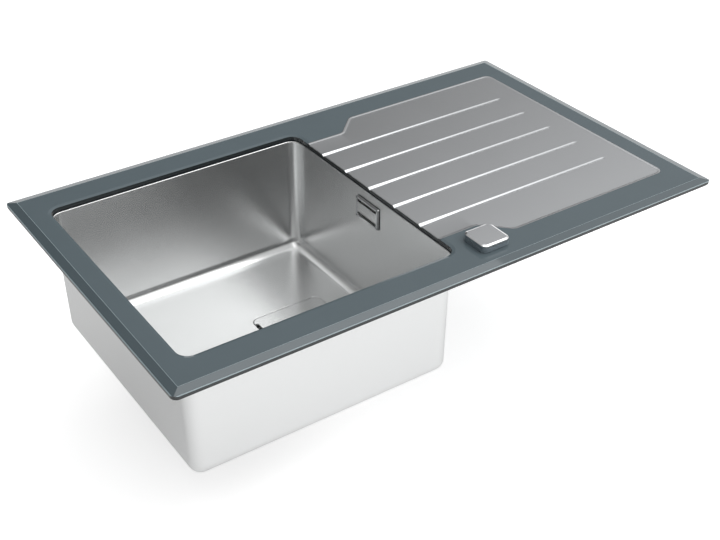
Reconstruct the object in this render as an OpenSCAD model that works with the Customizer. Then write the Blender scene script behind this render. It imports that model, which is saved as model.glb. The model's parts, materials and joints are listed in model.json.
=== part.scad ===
// Kitchen sink: a bevelled glass top with a bonded steel bowl, an inset ribbed
// drainer, an overflow, a square drain cover and a basket waste worked by a
// square turning knob through a cable. Millimetres, +Z up. The origin lies in
// the plane of the worktop, under the middle of the glass.

/* [Glass top] */
// Length of the glass, left to right
plate_w = 860; // [820:10:960]
// Depth of the glass, front to back
plate_d = 510; // [500:5:530]
// Thickness of the glass
glass_t = 7; // [6.5:0.5:10]
// Corner radius of the glass
plate_corner_r = 8; // [4:1:12]
// Width of the polished bevel round the edge
bevel_w = 12.5; // [8:0.5:14]
// Drop of the bevel at the outer edge
bevel_drop = 2.7; // [1:0.1:3.5]
// Width of the polished arris round the bowl cut-out
arris_w = 4.5; // [1:0.5:6]
// Drop of that arris at the cut edge
arris_drop = 1.2; // [0.4:0.1:2]
// Glass left of the bowl
margin_left = 40; // [38:1:60]
// Glass right of the drainer
margin_right = 40; // [30:1:60]
// Thickness of the foam seal on the worktop
seal_t = 2; // [1.5:0.5:4]
// Width of the foam seal
seal_w = 8; // [6:0.5:9]
// Seal's distance in from the glass edge
seal_inset = 1.5; // [1:0.5:3]

/* [Bowl] */
// Width of the bowl cut-out, left to right
bowl_w = 400; // [380:5:410]
// Depth of the bowl cut-out, front to back
bowl_d = 400; // [380:5:410]
// Corner radius of the cut-out
cut_r = 17; // [14:1:24]
// Glass top down to the bowl's floor at its edge
bowl_depth = 195; // [170:5:210]
// Steel seen inside the cut edge
wall_reveal = 1.5; // [0.5:0.5:3]
// Lean of each wall from top to bottom
wall_draft = 2.3; // [1:0.1:5]
// Corner radius between two walls
wall_corner_r = 15; // [12:1:20]
// Radius of the cove between wall and floor
cove_r = 16; // [10:1:20]
// Fall of the floor towards the drain
floor_fall = 1.5; // [0.5:0.5:3]
// Thickness of the bowl's steel
sheet_t = 1; // [0.8:0.1:1.5]
// Width of the flange bonded under the glass
flange_w = 18; // [12:1:22]
// Radius of the bend from flange to wall
rim_bend_r = 2.5; // [2:0.5:4]
// Thickness of the bonding bead on the flange
bond_t = 1.5; // [1:0.1:2]

/* [Drainer] */
// Front to back size of the drainer panel
drainer_d = 400; // [380:5:420]
// Depth of the notch at each bowl-side corner
notch_d = 36.5; // [30:0.5:45]
// Straight length of the panel's edge before the notch ends
notch_len = 62; // [50:1:75]
// Flat rim of the panel
rim_w = 3.5; // [3:0.1:5]
// Width of the slope inside the rim
rim_slope_w = 1.8; // [1:0.1:3]
// Drop from the rim to the draining field
field_drop = 1; // [0.6:0.1:1.2]
// Thickness of the drainer's steel
panel_t = 1; // [0.6:0.1:1]
// Adhesive under the draining field
film_t = 0.5; // [0.3:0.1:0.6]
// Number of grooves
groove_count = 5; // [3:1:5]
// Distance between grooves
groove_pitch = 60; // [45:5:62]
// Length of a groove
groove_len = 344; // [250:2:350]
// Width of a groove at the bowl
groove_w = 9; // [6:0.5:12]
// Depth of a groove at the bowl
groove_depth = 2.2; // [1:0.1:2.3]

/* [Knob] */
// Knob's distance to the right of the cut-out
knob_from_cut = 46.5; // [44:0.5:60]
// Knob's distance in front of the middle
knob_front = 202.5; // [200:0.5:206]
// Side of the square knob
knob_w = 45.5; // [42:0.5:48]
// Corner radius of the knob
knob_corner_r = 8; // [6:0.5:12]
// Height of the dark grip
grip_h = 5.4; // [5:0.2:8]
// Height of the steel cap
cap_h = 5; // [4:0.2:7]
// Width of the cap's polished edge
cap_edge_w = 3; // [1.5:0.1:4]
// Rise of the cap's polished edge
cap_edge_h = 1.1; // [0.6:0.1:2]
// Number of grip lines round the knob
grip_lines = 3; // [2:1:3]
// Radius of the spindle
spindle_r = 4; // [3.5:0.25:5]
// Turn of the knob from closed to open, degrees
knob_turn = 90; // [80:5:100]

/* [Drain] */
// Drain centre's distance to the right of the bowl's
drain_shift = 86; // [70:1:100]
// Side of the square drain cover
cover_w = 115; // [115:0.5:120]
// Corner radius of the cover
cover_corner_r = 12; // [8:1:14]
// Thickness of the cover
cover_t = 2; // [1.5:0.1:2.5]
// Width of the slot along the cover's left edge
cover_slot_w = 5; // [3:0.5:7]
// Length of that slot
cover_slot_len = 92; // [70:1:94]
// Height of the cover's feet
foot_h = 2; // [1.5:0.1:3]
// Radius of the waste hole in the bowl
waste_hole_r = 44; // [43.5:0.25:45]
// Radius of the waste cup's flange
cup_flange_r = 55; // [53:0.5:56]
// Outer radius of the waste cup
cup_r = 42; // [41.5:0.25:42.5]
// Depth of the waste cup below its flange
cup_depth = 44; // [42:1:50]
// Radius of the drain seat in the cup
seat_r = 22; // [20:0.5:24]
// Radius of the outlet thread, G 1 1/2
outlet_r = 23.9; // [22:0.1:25]
// Length of the outlet thread
outlet_len = 18; // [14:1:25]
// Lift of the strainer basket
basket_lift = 9.5; // [7:0.1:10.5]

/* [Overflow] */
// Width of the overflow frame
over_w = 55; // [50:1:60]
// Height of the overflow frame
over_h = 35; // [32:1:38]
// Frame's top edge below the glass top
over_drop = 22; // [20:1:30]
// Width of the frame's bevelled border
over_border = 4.5; // [4:0.1:5.5]
// Radius of the overflow hose
hose_r = 12; // [11:0.5:13]
// Distance between the ribs of the hose
rib_pitch = 4.5; // [4:0.25:6]
// Bend radius of the hose
hose_bend_r = 47; // [44:1:49]

/* [Fixing clips] */
// Drop of a clip's leg when it is swung down
clip_leg = 30; // [26:1:30]
// Reach of a clip's hook under the worktop
clip_hook = 20; // [16:1:24]
// Width of a clip
clip_w = 16; // [12:1:20]
// Thickness of a clip's steel
clip_t = 2; // [1.5:0.1:2.5]

/* [Hidden] */
$fn = 64;
// Overrun of a cut past the face that it opens
over = 1;
// Steps in one quarter of a rounded corner
ring_n = 6;
// Steps in a cove or a bend
bend_n = 5;
// Running clearance of a shaft in its bore
run_gap = 0.05;
// Gap between pieces that move past each other
air = 0.3;
// Fitting gap between fixed pieces
fit_gap = 0.1;

// Levels and places of the glass and the bowl
z_under = seal_t;
z_top = seal_t + glass_t;
cut_x0 = -plate_w / 2 + margin_left;
cut_x1 = cut_x0 + bowl_w;
bowl_x = (cut_x0 + cut_x1) / 2;
z_flange = z_under - bond_t;
z_floor = z_top - bowl_depth;
z_drain = z_floor - floor_fall;
z_wall = z_flange - rim_bend_r;
z_cove = z_floor + cove_r;
wall_tilt = atan(wall_draft / (z_wall - z_cove));
// Smallest corner radius where the cove meets the floor
floor_corner_r = 4;

// Drainer panel
panel_x0 = cut_x1;
panel_x1 = plate_w / 2 - margin_right;
panel_corner_r = 12;
notch_corner_r = 5;
z_field = z_top - field_drop;
panel_gap = 0.3;
bond_bead_w = 3;

// Drain set
drain_x = bowl_x + drain_shift;
cup_ring_t = 1.5;
cup_flange_t = 1.5;
cup_wall = 1;
cover_gap = 1;
recess_half = cover_w / 2 + cover_gap;
recess_r = cover_corner_r + cover_gap;
z_recess = z_drain - cover_t - foot_h - cup_flange_t - cup_ring_t;
z_cup = z_recess + cup_ring_t + cup_flange_t;
z_seat = z_cup - cup_depth;
seat_lip = 3;
hub_r = 9;
spoke_w = 3;
spoke_h = 2;
screw_r = 6;
stem_r = 3;
bowl_seal_t = 2;
body_flange_t = 4;
body_wall = 3;
body_rim = 5;
body_r = cup_flange_r - body_rim;
body_spider_h = 6;
body_hub_h = 10;
z_body_top = z_recess - sheet_t - bowl_seal_t;
z_hub_top = z_seat - spoke_h;
z_hub_low = z_hub_top - body_hub_h;
z_stem = z_hub_low - basket_lift - over;

// Lever and its shaft below the waste cup
lever_swing = 40;
nose_r = 2.5;
lever_len = basket_lift / (2 * sin(lever_swing / 2)) + run_gap;
shaft_r = 3;
shaft_x = drain_x + lever_len * cos(lever_swing / 2);
shaft_z = z_stem - air - nose_r + lever_len * sin(lever_swing / 2);
finger_w = 6;
finger_t = 2;
shaft_boss_r = 8;
seal_pocket_r = 5.5;
seal_pocket_d = 2;
boss_out = 5.7;
boss_end = body_r + boss_out;
arm_len = 18;
arm_t = 4;
arm_hub_r = 6;
arm_tip_r = 3;
case_wall = 2;
case_room = arm_t + 2 * air;
case_half = 14;
case_low = 9;
case_high = arm_len + case_low;
case_mid_y = -(boss_end + case_wall + case_room / 2);
cone_h = 14;
z_body_low = shaft_z - nose_r - lever_len * sin(lever_swing / 2) - 3 * over;
z_outlet = z_body_low - cone_h;
outlet_bore_r = outlet_r - body_wall;

// Strainer basket
basket_t = 0.8;
basket_rim_drop = basket_lift + foot_h;
z_basket = z_cup - basket_rim_drop;
basket_side_gap = 4;
basket_r = cup_r - basket_side_gap;
basket_h = 20;
basket_floor_r = 27;
basket_seal_t = 3;
seal_lap = 2;
basket_seal_r = seat_r + seal_lap;
z_plug = z_basket - basket_h;
knob_pull_r = 7;
knob_pull_h = 9;

// Knob set
knob_x = cut_x1 + knob_from_cut;
knob_y = -knob_front;
knob_lift = 0.6;
grip_cavity_r = 17;
grip_cavity_h = 4;
groove_line = 0.5;
key_w = 30;
key_h = 2;
bush_r = 11;
bush_flange_r = 15;
bush_flange_t = 2;
washer_t = 1;
hole_gap = 1;
glass_hole_r = bush_r + hole_gap;
nut_h = 6;
nut_r = 17;
z_nut = z_under - washer_t - nut_h;
drum_r = arm_len * lever_swing / knob_turn;
drum_flange = 2;
drum_h = 6;
drum_room = 6;
drum_case_r = drum_r + drum_flange + drum_room;
nut_gap = 1.5;
z_case = z_nut - nut_gap;
z_bush_low = z_case - case_wall - over;
z_drum = z_bush_low - over;
z_case_low = z_drum - drum_h - over;

// Overflow set
over_frame_t = 3;
over_seal_t = 0.5;
over_corner_r = 2;
over_bevel = 1.5;
over_window_w = over_w - 2 * over_border;
window_trim = 2;
over_window_h = over_h - 2 * over_border - window_trim;
over_slot_top = 3.5;
over_slot_low = 5;
insert_h = over_window_h - over_slot_top - over_slot_low;
insert_t = 0.8;
over_hole_w = over_window_w - window_trim;
over_hole_h = over_window_h - window_trim;
over_z = z_top - over_drop - over_h / 2;
over_x = cut_x1 - wall_reveal - (z_wall - over_z) * tan(wall_tilt);
gasket_t = 1.5;
house_flange = 3;
house_flange_t = 2.5;
house_wall = 2;
house_depth = 28;
house_room = 2;
house_h = over_hole_h + 2 * house_wall + 2 * house_room;
house_w = over_hole_w + 2 * house_wall + house_room;
house_back = sheet_t + gasket_t + house_depth;
spigot_in = 4;
spigot_r = hose_r - spigot_in;
spigot_len = 12;
spigot_wall = 1.5;
spigot_x = house_back - hose_r - house_wall;
over_screw_r = 2.5;
boss_r = 5;

// Overflow hose, from the housing to the waste body
inlet_drop = 34;
hose_z = z_cup - inlet_drop;
hose_start = [over_x + spigot_x * cos(wall_tilt) - house_h / 2 * sin(wall_tilt),
    over_z - spigot_x * sin(wall_tilt) - house_h / 2 * cos(wall_tilt)];
hose_drop = (hose_start[1] - hose_z - hose_bend_r * (1 - sin(wall_tilt))) / cos(wall_tilt);
inlet_len = 5;
inlet_lip = 1;
inlet_boss_r = hose_r + inlet_lip;
inlet_x = drain_x + body_r + inlet_len;
hose_corner = [hose_start[0] - hose_drop * sin(wall_tilt) - hose_bend_r * cos(wall_tilt), hose_z];
hose_arc = (90 - wall_tilt) * PI / 180 * hose_bend_r;
hose_run = hose_corner[0] - inlet_x;
hose_len = hose_drop + hose_arc + hose_run;
hose_end = 2 * hose_r;
rib_h = 1.6;
hose_wall = 2.8;
hose_plain_r = hose_r - rib_h / 2;
hose_valley_r = hose_r - rib_h;
hose_bore_r = hose_r - hose_wall;
rib_count = floor((hose_len - 2 * hose_end) / rib_pitch);
hose_sides = 8;
bore_steps = 24;
collar_w = 10;
collar_t = 2.5;

// Clips
clip_inset = 20;
clip_knuckle_r = 4;
clip_pin_r = 2;
bracket_t = 1.5;
bracket_len = clip_w + 2 * (bracket_t + air);
knuckle_gap = 1;
z_pivot = z_under - bracket_t - knuckle_gap - clip_knuckle_r;
clip_screw_r = 2.5;
clip_screw_len = 16;
clip_head_r = 4;
clip_head_h = 3;
long_clip_shares = [-0.38, -0.1, 0.33];
side_clip_shares = [-0.3, 0.3];

// Cable route from the drum to the lever's arm, points chosen by hand
cable_r = 2.5;
cable_bore_r = 1.3;
core_r = 0.8;
cable_sides = 8;
cable_steps = 4;
cable_route = [[64.5, -189, -13.5], [64.5, -176, -13.5], [64.5, -155, -18], [62, -130, -42], [59, -114, -86],
    [55, -103, -132], [47, -92, -174], [33, -82, -208], [10, -73, -230], [-18, -65, -238],
    [-45, -61, -238.5], [-60, -60, -238], [-75, -60, -238]];

// Small sizes of the glass, the panel and the pads
edge_r = 0.5;
z_recess_floor = z_field - panel_t - film_t;
panel_slope_t = 0.4;
pad_gap = 8;
pad_margin = 10;
pad_t = 2.5;
bracket_half = 8;
clip_screw_z = -clip_knuckle_r - clip_hook + clip_head_r + over;

// Small sizes of the drain set
foot_r = 3;
boss_in = 40;
basket_rings = 2;
basket_first = 12;
basket_hole_step = 5;
basket_hole_r = 1.6;
z_seal_top = z_seat + basket_seal_t;
plug_neck_r = 12;
socket_len = 6;
socket_wall = 1.4;
socket_r = cable_r + socket_wall;

// Small sizes of the knob and the overflow
drum_rim_t = 1;
web_t = 1;
insert_z = (over_slot_low - over_slot_top) / 2;
web_trim = 4;
web_h = insert_h - web_trim;
boss_len = 12;
screw_head_r = 4;
screw_head_h = 1;
collar_at = 6;

// Ring of points on a rounded rectangle at height z
function rect_ring(cx, cy, hx, hy, r, z) = [
    for (q = [0:3])
        let (sx = (q == 0 || q == 3) ? 1 : -1, sy = (q < 2) ? 1 : -1)
        for (k = [0:ring_n])
            let (a = 90 * q + 90 * k / ring_n)
            [cx + sx * (hx - r) + r * cos(a), cy + sy * (hy - r) + r * sin(a), z]];

// Outline of a polygon, counterclockwise, with each corner rounded to its radius
function rounded(pts, radii) = [
    for (i = [0:len(pts) - 1])
        let (c = pts[i], p = pts[(i + len(pts) - 1) % len(pts)], q = pts[(i + 1) % len(pts)],
            u = (p - c) / norm(p - c), v = (q - c) / norm(q - c), r = radii[i],
            half = acos(u * v) / 2, mid = c + (u + v) / norm(u + v) * r / sin(half),
            side = sign(u[1] * v[0] - u[0] * v[1]),
            from = c + u * r / tan(half) - mid, a0 = atan2(from[1], from[0]))
        for (k = [0:ring_n])
            let (a = a0 + side * (180 - 2 * half) * k / ring_n)
            mid + r * [cos(a), sin(a)]];

// Solid whose skin runs through a list of rings, closed by a flat cap at each end
module ring_solid(rings) {
    n = len(rings[0]);
    m = len(rings);
    skin = [for (i = [0:m - 2], k = [0:n - 1])
        let (a = i * n + k, b = i * n + (k + 1) % n)
        each [[a, a + n, b + n], [a, b + n, b]]];
    low = [for (k = [0:n - 1]) k];
    high = [for (k = [n - 1:-1:0]) (m - 1) * n + k];
    polyhedron([for (r = rings) each r], concat([low], skin, [high]));
}

// Tube whose skin runs out along one list of rings and back along another
module tube_solid(outer, inner) {
    rings = concat(outer, [for (i = [len(inner) - 1:-1:0]) inner[i]]);
    n = len(rings[0]);
    m = len(rings);
    skin = [for (i = [0:m - 1], k = [0:n - 1])
        let (j = (i + 1) % m, a = i * n + k, b = i * n + (k + 1) % n, c = j * n + k, d = j * n + (k + 1) % n)
        each [[a, c, d], [a, d, b]]];
    polyhedron([for (r = rings) each r], skin);
}

// Flat rounded rectangle
module rounded_plate(w, d, r, t) {
    linear_extrude(t) polygon(rounded(
        [[-w / 2, -d / 2], [w / 2, -d / 2], [w / 2, d / 2], [-w / 2, d / 2]], [r, r, r, r]));
}

// Flat rounded frame of one bar width
module rounded_frame(w, d, r, bar, t) {
    difference() {
        rounded_plate(w, d, r, t);
        translate([0, 0, -over])
            rounded_plate(w - 2 * bar, d - 2 * bar, max(r - bar, floor_corner_r), t + 2 * over);
    }
}

// Round ring
module ring(r_out, r_in, h) {
    difference() {
        cylinder(r = r_out, h = h);
        translate([0, 0, -over]) cylinder(r = r_in, h = h + 2 * over);
    }
}

// Outline of the drainer panel moved outwards by g, its bowl side at x0
function panel_outline(g, x0) =
    let (h = drainer_d / 2 + g, e = h - notch_d, xa = panel_x0 + notch_len - g * tan(22.5),
        xb = xa + notch_d, x1 = panel_x1 + g)
    rounded([[x0, -e], [xa, -e], [xb, -h], [x1, -h], [x1, h], [xb, h], [xa, e], [x0, e]],
        [edge_r, notch_corner_r, notch_corner_r, panel_corner_r + g,
            panel_corner_r + g, notch_corner_r, notch_corner_r, edge_r]);

// Points of the panel's edge at height z, moved outwards by g, from the bowl's front end to its back end
function panel_path(g, z) =
    let (e = drainer_d / 2 + g - notch_d, o = panel_outline(g, panel_x0 - rim_w), c = len(o) / 8)
    concat([[panel_x0, -e, z]], [for (i = [c:7 * c - 1]) [o[i][0], o[i][1], z]], [[panel_x0, e, z]]);

// Points of each groove in a surface at height z: front edge, tip, back edge and lowest point
function groove_points(z) = [
    for (i = [0:groove_count - 1])
        let (y = (i - (groove_count - 1) / 2) * groove_pitch)
        each [[panel_x0, y - groove_w / 2, z], [panel_x0 + groove_len, y, z], [panel_x0, y + groove_w / 2, z],
            [panel_x0, y, z - groove_depth]]];

// Wedge of one tapered groove cut down from a plane at height z, its top raised above it
module groove_wedge(z, raise) {
    k = 1 + raise / groove_depth;
    s = k + over / groove_len;
    xs = panel_x0 - over;
    polyhedron(
        [[xs, -groove_w / 2 * s, z + raise], [xs, groove_w / 2 * s, z + raise],
            [xs, 0, z + raise - groove_depth * s], [panel_x0 + groove_len * k, 0, z + raise]],
        [[0, 2, 1], [0, 1, 3], [1, 2, 3], [2, 0, 3]]);
}

// All the grooves
module groove_wedges(z, raise) {
    for (i = [0:groove_count - 1])
        translate([0, (i - (groove_count - 1) / 2) * groove_pitch, 0]) groove_wedge(z, raise);
}

// Glass plate with its bevel, bowl cut-out, drainer recess and knob hole
module glass_top() {
    color([0.4, 0.44, 0.46]) difference() {
        ring_solid([
            rect_ring(0, 0, plate_w / 2, plate_d / 2, plate_corner_r, z_under),
            rect_ring(0, 0, plate_w / 2, plate_d / 2, plate_corner_r, z_top - bevel_drop),
            rect_ring(0, 0, plate_w / 2 - bevel_w, plate_d / 2 - bevel_w, edge_r, z_top)]);
        ring_solid([
            rect_ring(bowl_x, 0, bowl_w / 2, bowl_d / 2, cut_r, z_under - over),
            rect_ring(bowl_x, 0, bowl_w / 2, bowl_d / 2, cut_r, z_top - arris_drop),
            rect_ring(bowl_x, 0, bowl_w / 2 + arris_w * 2, bowl_d / 2 + arris_w * 2, cut_r + arris_w,
                z_top + arris_drop)]);
        translate([0, 0, z_recess_floor])
            linear_extrude(glass_t) polygon(panel_outline(panel_gap, panel_x0 - over));
        groove_wedges(z_field - panel_t - panel_gap, panel_t / 2);
        translate([knob_x, knob_y, z_under - over]) cylinder(r = glass_hole_r, h = glass_t + 2 * over);
    }
}

// Triangles that fan out from a face's first point, turned over when flip is true
function fan(face, flip) = [
    for (i = [1:len(face) - 2]) flip ? [face[0], face[i + 1], face[i]] : [face[0], face[i], face[i + 1]]];

// Faces of the drainer's field between a ring that starts at point r and the grooves that start at points g
function field_faces(r, n, g, flip) =
    let (last = len(g) - 1, half = n / 2)
    concat(
        fan(concat([g[0] + 1, g[0]], [for (k = [0:half - 1]) r + k]), flip),
        fan(concat([r + half - 1, r + half], [for (i = [last:-1:0]) g[i] + 1]), flip),
        fan(concat([g[last] + 1], [for (k = [half:n - 1]) r + k], [g[last] + 2]), flip),
        [for (i = [0:last - 1]) each fan([g[i] + 2, g[i] + 1, g[i + 1] + 1, g[i + 1]], flip)],
        [for (i = g) each concat(fan([i, i + 1, i + 3], flip), fan([i + 2, i + 3, i + 1], flip))]);

// Pressed steel drainer with a flat rim, a lower field and tapered grooves that run out at the bowl
module drainer_panel() {
    tray = rim_slope_w - panel_slope_t;
    paths = [
        panel_path(-rim_w - tray, z_field - panel_t), panel_path(panel_slope_t - rim_w, z_top - panel_t),
        panel_path(0, z_top - panel_t), panel_path(0, z_top),
        panel_path(-rim_w, z_top), panel_path(-rim_w - rim_slope_w, z_field)];
    n = len(paths[0]);
    m = len(paths);
    half = m / 2;
    low = [for (i = [0:groove_count - 1]) n * m + 4 * i];
    high = [for (i = low) i + 4 * groove_count];
    skin = [for (i = [0:m - 2], k = [0:n - 2])
        let (a = i * n + k)
        each fan([a, a + n, a + n + 1, a + 1], false)];
    top_edge = concat(
        [for (i = [half:m - 1]) i * n + n - 1],
        [for (i = [groove_count - 1:-1:0]) each [high[i] + 2, high[i] + 3, high[i]]],
        [for (i = [m - 1:-1:half]) i * n]);
    low_edge = concat(
        [for (i = [half - 1:-1:0]) i * n + n - 1],
        [for (i = [groove_count - 1:-1:0]) each [low[i] + 2, low[i] + 3, low[i]]],
        [for (i = [0:half - 1]) i * n]);
    bowl_end = [for (k = [0:len(top_edge) - 2])
        each fan([top_edge[k], top_edge[k + 1], low_edge[k + 1], low_edge[k]], false)];
    color([0.7, 0.71, 0.72]) polyhedron(
        concat([for (r = paths) each r], groove_points(z_field - panel_t), groove_points(z_field)),
        concat(skin, bowl_end, field_faces(0, n, low, false), field_faces((m - 1) * n, n, high, true)));
}

// Adhesive bead under the panel's rim and film under its field
module drainer_bond() {
    pad_w = groove_pitch - groove_w - 2 * pad_gap;
    color([0.2, 0.2, 0.21]) {
        translate([0, 0, z_recess_floor]) linear_extrude(field_drop + film_t) difference() {
            polygon(panel_outline(0, panel_x0));
            polygon(panel_outline(-bond_bead_w, panel_x0 - over));
        }
        for (i = [0:groove_count - 2])
            translate([panel_x0 + pad_gap, (i - (groove_count - 2) / 2) * groove_pitch - pad_w / 2,
                z_recess_floor])
                cube([panel_x1 - panel_x0 - 3 * pad_gap, pad_w, film_t]);
    }
}

// Ring of the bowl's skin, set in from the top of its walls
function bowl_ring(inset, z) = rect_ring(bowl_x, 0, bowl_w / 2 - wall_reveal - inset,
    bowl_d / 2 - wall_reveal - inset, max(wall_corner_r - inset, floor_corner_r), z);

// Ring of the drain recess
function recess_ring(grow, z) =
    rect_ring(drain_x, 0, recess_half + grow, recess_half + grow, recess_r + grow, z);

// Rings of the cove, its radius grown by the steel for the outer skin
function cove_rings(grow, order) = [
    for (i = order)
        let (s = 90 * i / bend_n)
        bowl_ring(wall_draft + cove_r - (cove_r + grow) * cos(s), z_cove - (cove_r + grow) * sin(s))];

// Rings of the bend under the glass
function bend_rings(thin, order) = [
    for (i = order)
        let (s = 90 * i / bend_n)
        bowl_ring((rim_bend_r - thin) * sin(s) - rim_bend_r, z_wall + (rim_bend_r - thin) * cos(s))];

// Pressed bowl with its flange, coved floor, drain recess, waste hole and overflow hole
module bowl() {
    color([0.82, 0.83, 0.84]) difference() {
        ring_solid(concat(
            [recess_ring(sheet_t, z_recess - sheet_t), recess_ring(sheet_t, z_drain - sheet_t)],
            cove_rings(sheet_t, [bend_n:-1:0]),
            bend_rings(sheet_t, [bend_n:-1:0]),
            [bowl_ring(-rim_bend_r - flange_w, z_flange - sheet_t),
                bowl_ring(-rim_bend_r - flange_w, z_flange)],
            bend_rings(0, [0:bend_n]),
            cove_rings(0, [0:bend_n]),
            [recess_ring(0, z_drain), recess_ring(0, z_recess)]));
        translate([drain_x, 0, z_recess - sheet_t - over]) cylinder(r = waste_hole_r, h = sheet_t + 2 * over);
        at_overflow() translate([-over, -over_hole_w / 2, -over_hole_h / 2])
            cube([sheet_t + 2 * over, over_hole_w, over_hole_h]);
    }
}

// Bonding bead between the bowl's flange and the glass
module bowl_bond() {
    grow = flange_w + rim_bend_r - wall_reveal - over;
    color([0.15, 0.15, 0.16]) translate([bowl_x, 0, z_flange])
        rounded_frame(bowl_w + 2 * grow, bowl_d + 2 * grow, wall_corner_r + grow, flange_w / 2, bond_t);
}

// Foam seal between the glass and the worktop
module rim_seal() {
    color([0.12, 0.12, 0.12])
        rounded_frame(plate_w - 2 * seal_inset, plate_d - 2 * seal_inset, plate_corner_r - seal_inset + over,
            seal_w, seal_t);
}

// Sound-deadening pad stuck under the bowl's floor, left of the drain
module sound_pad() {
    edge = wall_draft + cove_r;
    pad_x0 = bowl_x - bowl_w / 2 + wall_reveal + edge + pad_margin;
    pad_x1 = drain_x - recess_half - pad_margin;
    pad_half = bowl_d / 2 - edge - 3 * pad_margin;
    color([0.25, 0.25, 0.26]) intersection() {
        tube_solid(
            [bowl_ring(edge, z_floor - sheet_t - pad_t), bowl_ring(edge, z_floor - sheet_t)],
            [recess_ring(sheet_t, z_drain - sheet_t - pad_t), recess_ring(sheet_t, z_drain - sheet_t)]);
        translate([(pad_x0 + pad_x1) / 2, 0, z_drain - sheet_t - 2 * pad_t])
            rounded_plate(pad_x1 - pad_x0, 2 * pad_half, pad_margin, 4 * pad_t);
    }
}

// Places of the clips: a pivot under the front, back or right edge of the glass
module at_clips(side) {
    if (side == "right")
        for (s = side_clip_shares)
            translate([plate_w / 2 - clip_inset, s * plate_d, z_pivot]) rotate([0, 0, 90]) children();
    else
        for (s = long_clip_shares)
            translate([s * plate_w, (side == "back" ? 1 : -1) * (plate_d / 2 - clip_inset), z_pivot])
                rotate([0, 0, side == "back" ? 180 : 0]) children();
}

// Bracket bonded under the glass, with two ears for the pin
module clip_bracket() {
    ear_h = z_under - z_pivot + clip_knuckle_r;
    difference() {
        union() {
            translate([-bracket_len / 2, -bracket_half, z_under - z_pivot - bracket_t])
                cube([bracket_len, 2 * bracket_half, bracket_t]);
            for (s = [-1, 1])
                translate([s * (bracket_len - bracket_t) / 2 - bracket_t / 2, 0, 0])
                    rotate([0, 90, 0]) union() {
                        cylinder(r = clip_knuckle_r, h = bracket_t);
                        translate([-ear_h + clip_knuckle_r, -clip_knuckle_r, 0])
                            cube([ear_h - clip_knuckle_r, 2 * clip_knuckle_r, bracket_t]);
                    }
        }
        translate([-bracket_len, 0, 0]) rotate([0, 90, 0]) cylinder(r = clip_pin_r, h = 2 * bracket_len);
    }
}

// Brackets of every clip
module clip_brackets() {
    color([0.6, 0.61, 0.62]) for (side = ["front", "back", "right"]) at_clips(side) clip_bracket();
}

// Hinge pins of every clip
module clip_pins() {
    color([0.55, 0.56, 0.58]) for (side = ["front", "back", "right"])
        at_clips(side) translate([-bracket_len / 2 - over, 0, 0]) rotate([0, 90, 0])
            cylinder(r = clip_pin_r, h = bracket_len + 2 * over);
}

// One clip folded flat: a rolled knuckle, a leg and a hook with a screw hole
module clip_arm() {
    difference() {
        union() {
            translate([-clip_w / 2, 0, 0]) rotate([0, 90, 0]) cylinder(r = clip_knuckle_r, h = clip_w);
            translate([-clip_w / 2, 0, -clip_knuckle_r]) cube([clip_w, clip_leg, clip_t]);
            translate([-clip_w / 2, clip_leg - clip_t, -clip_knuckle_r - clip_hook])
                cube([clip_w, clip_t, clip_hook + clip_t]);
        }
        translate([-clip_w, 0, 0]) rotate([0, 90, 0]) cylinder(r = clip_pin_r + run_gap, h = 2 * clip_w);
        translate([0, clip_leg - clip_t - over, clip_screw_z]) rotate([-90, 0, 0])
            cylinder(r = clip_screw_r, h = clip_t + 2 * over);
    }
}

// Clamping screw of one clip
module clip_screw() {
    translate([0, clip_leg, clip_screw_z]) rotate([90, 0, 0]) {
        cylinder(r = clip_screw_r, h = clip_screw_len - clip_screw_r);
        translate([0, 0, clip_screw_len - clip_screw_r])
            cylinder(r1 = clip_screw_r, r2 = clip_screw_r / 2, h = clip_screw_r);
        translate([0, 0, -clip_head_h]) difference() {
            cylinder(r = clip_head_r, h = clip_head_h);
            translate([0, 0, -over]) cylinder(r = clip_head_r / 2, h = over + clip_head_h / 2, $fn = 6);
        }
    }
}

module front_clips() { color([0.62, 0.63, 0.65]) at_clips("front") clip_arm(); }
module front_clip_screws() { color([0.5, 0.5, 0.52]) at_clips("front") clip_screw(); }
module back_clips() { color([0.62, 0.63, 0.65]) at_clips("back") clip_arm(); }
module back_clip_screws() { color([0.5, 0.5, 0.52]) at_clips("back") clip_screw(); }
module side_clips() { color([0.62, 0.63, 0.65]) at_clips("right") clip_arm(); }
module side_clip_screws() { color([0.5, 0.5, 0.52]) at_clips("right") clip_screw(); }

// Square drain cover with a slot along its left edge
module drain_cover() {
    color([0.8, 0.81, 0.82]) translate([drain_x, 0, z_drain - cover_t]) difference() {
        rounded_plate(cover_w, cover_w, cover_corner_r, cover_t);
        translate([-cover_w / 2 - over, -cover_slot_len / 2, -over])
            cube([cover_slot_w + over, cover_slot_len, cover_t + 2 * over]);
    }
}

// Rubber feet under the cover
module cover_feet() {
    foot_place = (cup_flange_r + cup_r) / 2 * sin(45);
    color([0.1, 0.1, 0.1]) for (sx = [-1, 1], sy = [-1, 1])
        translate([drain_x + sx * foot_place, sy * foot_place, z_cup]) cylinder(r = foot_r, h = foot_h);
}

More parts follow.
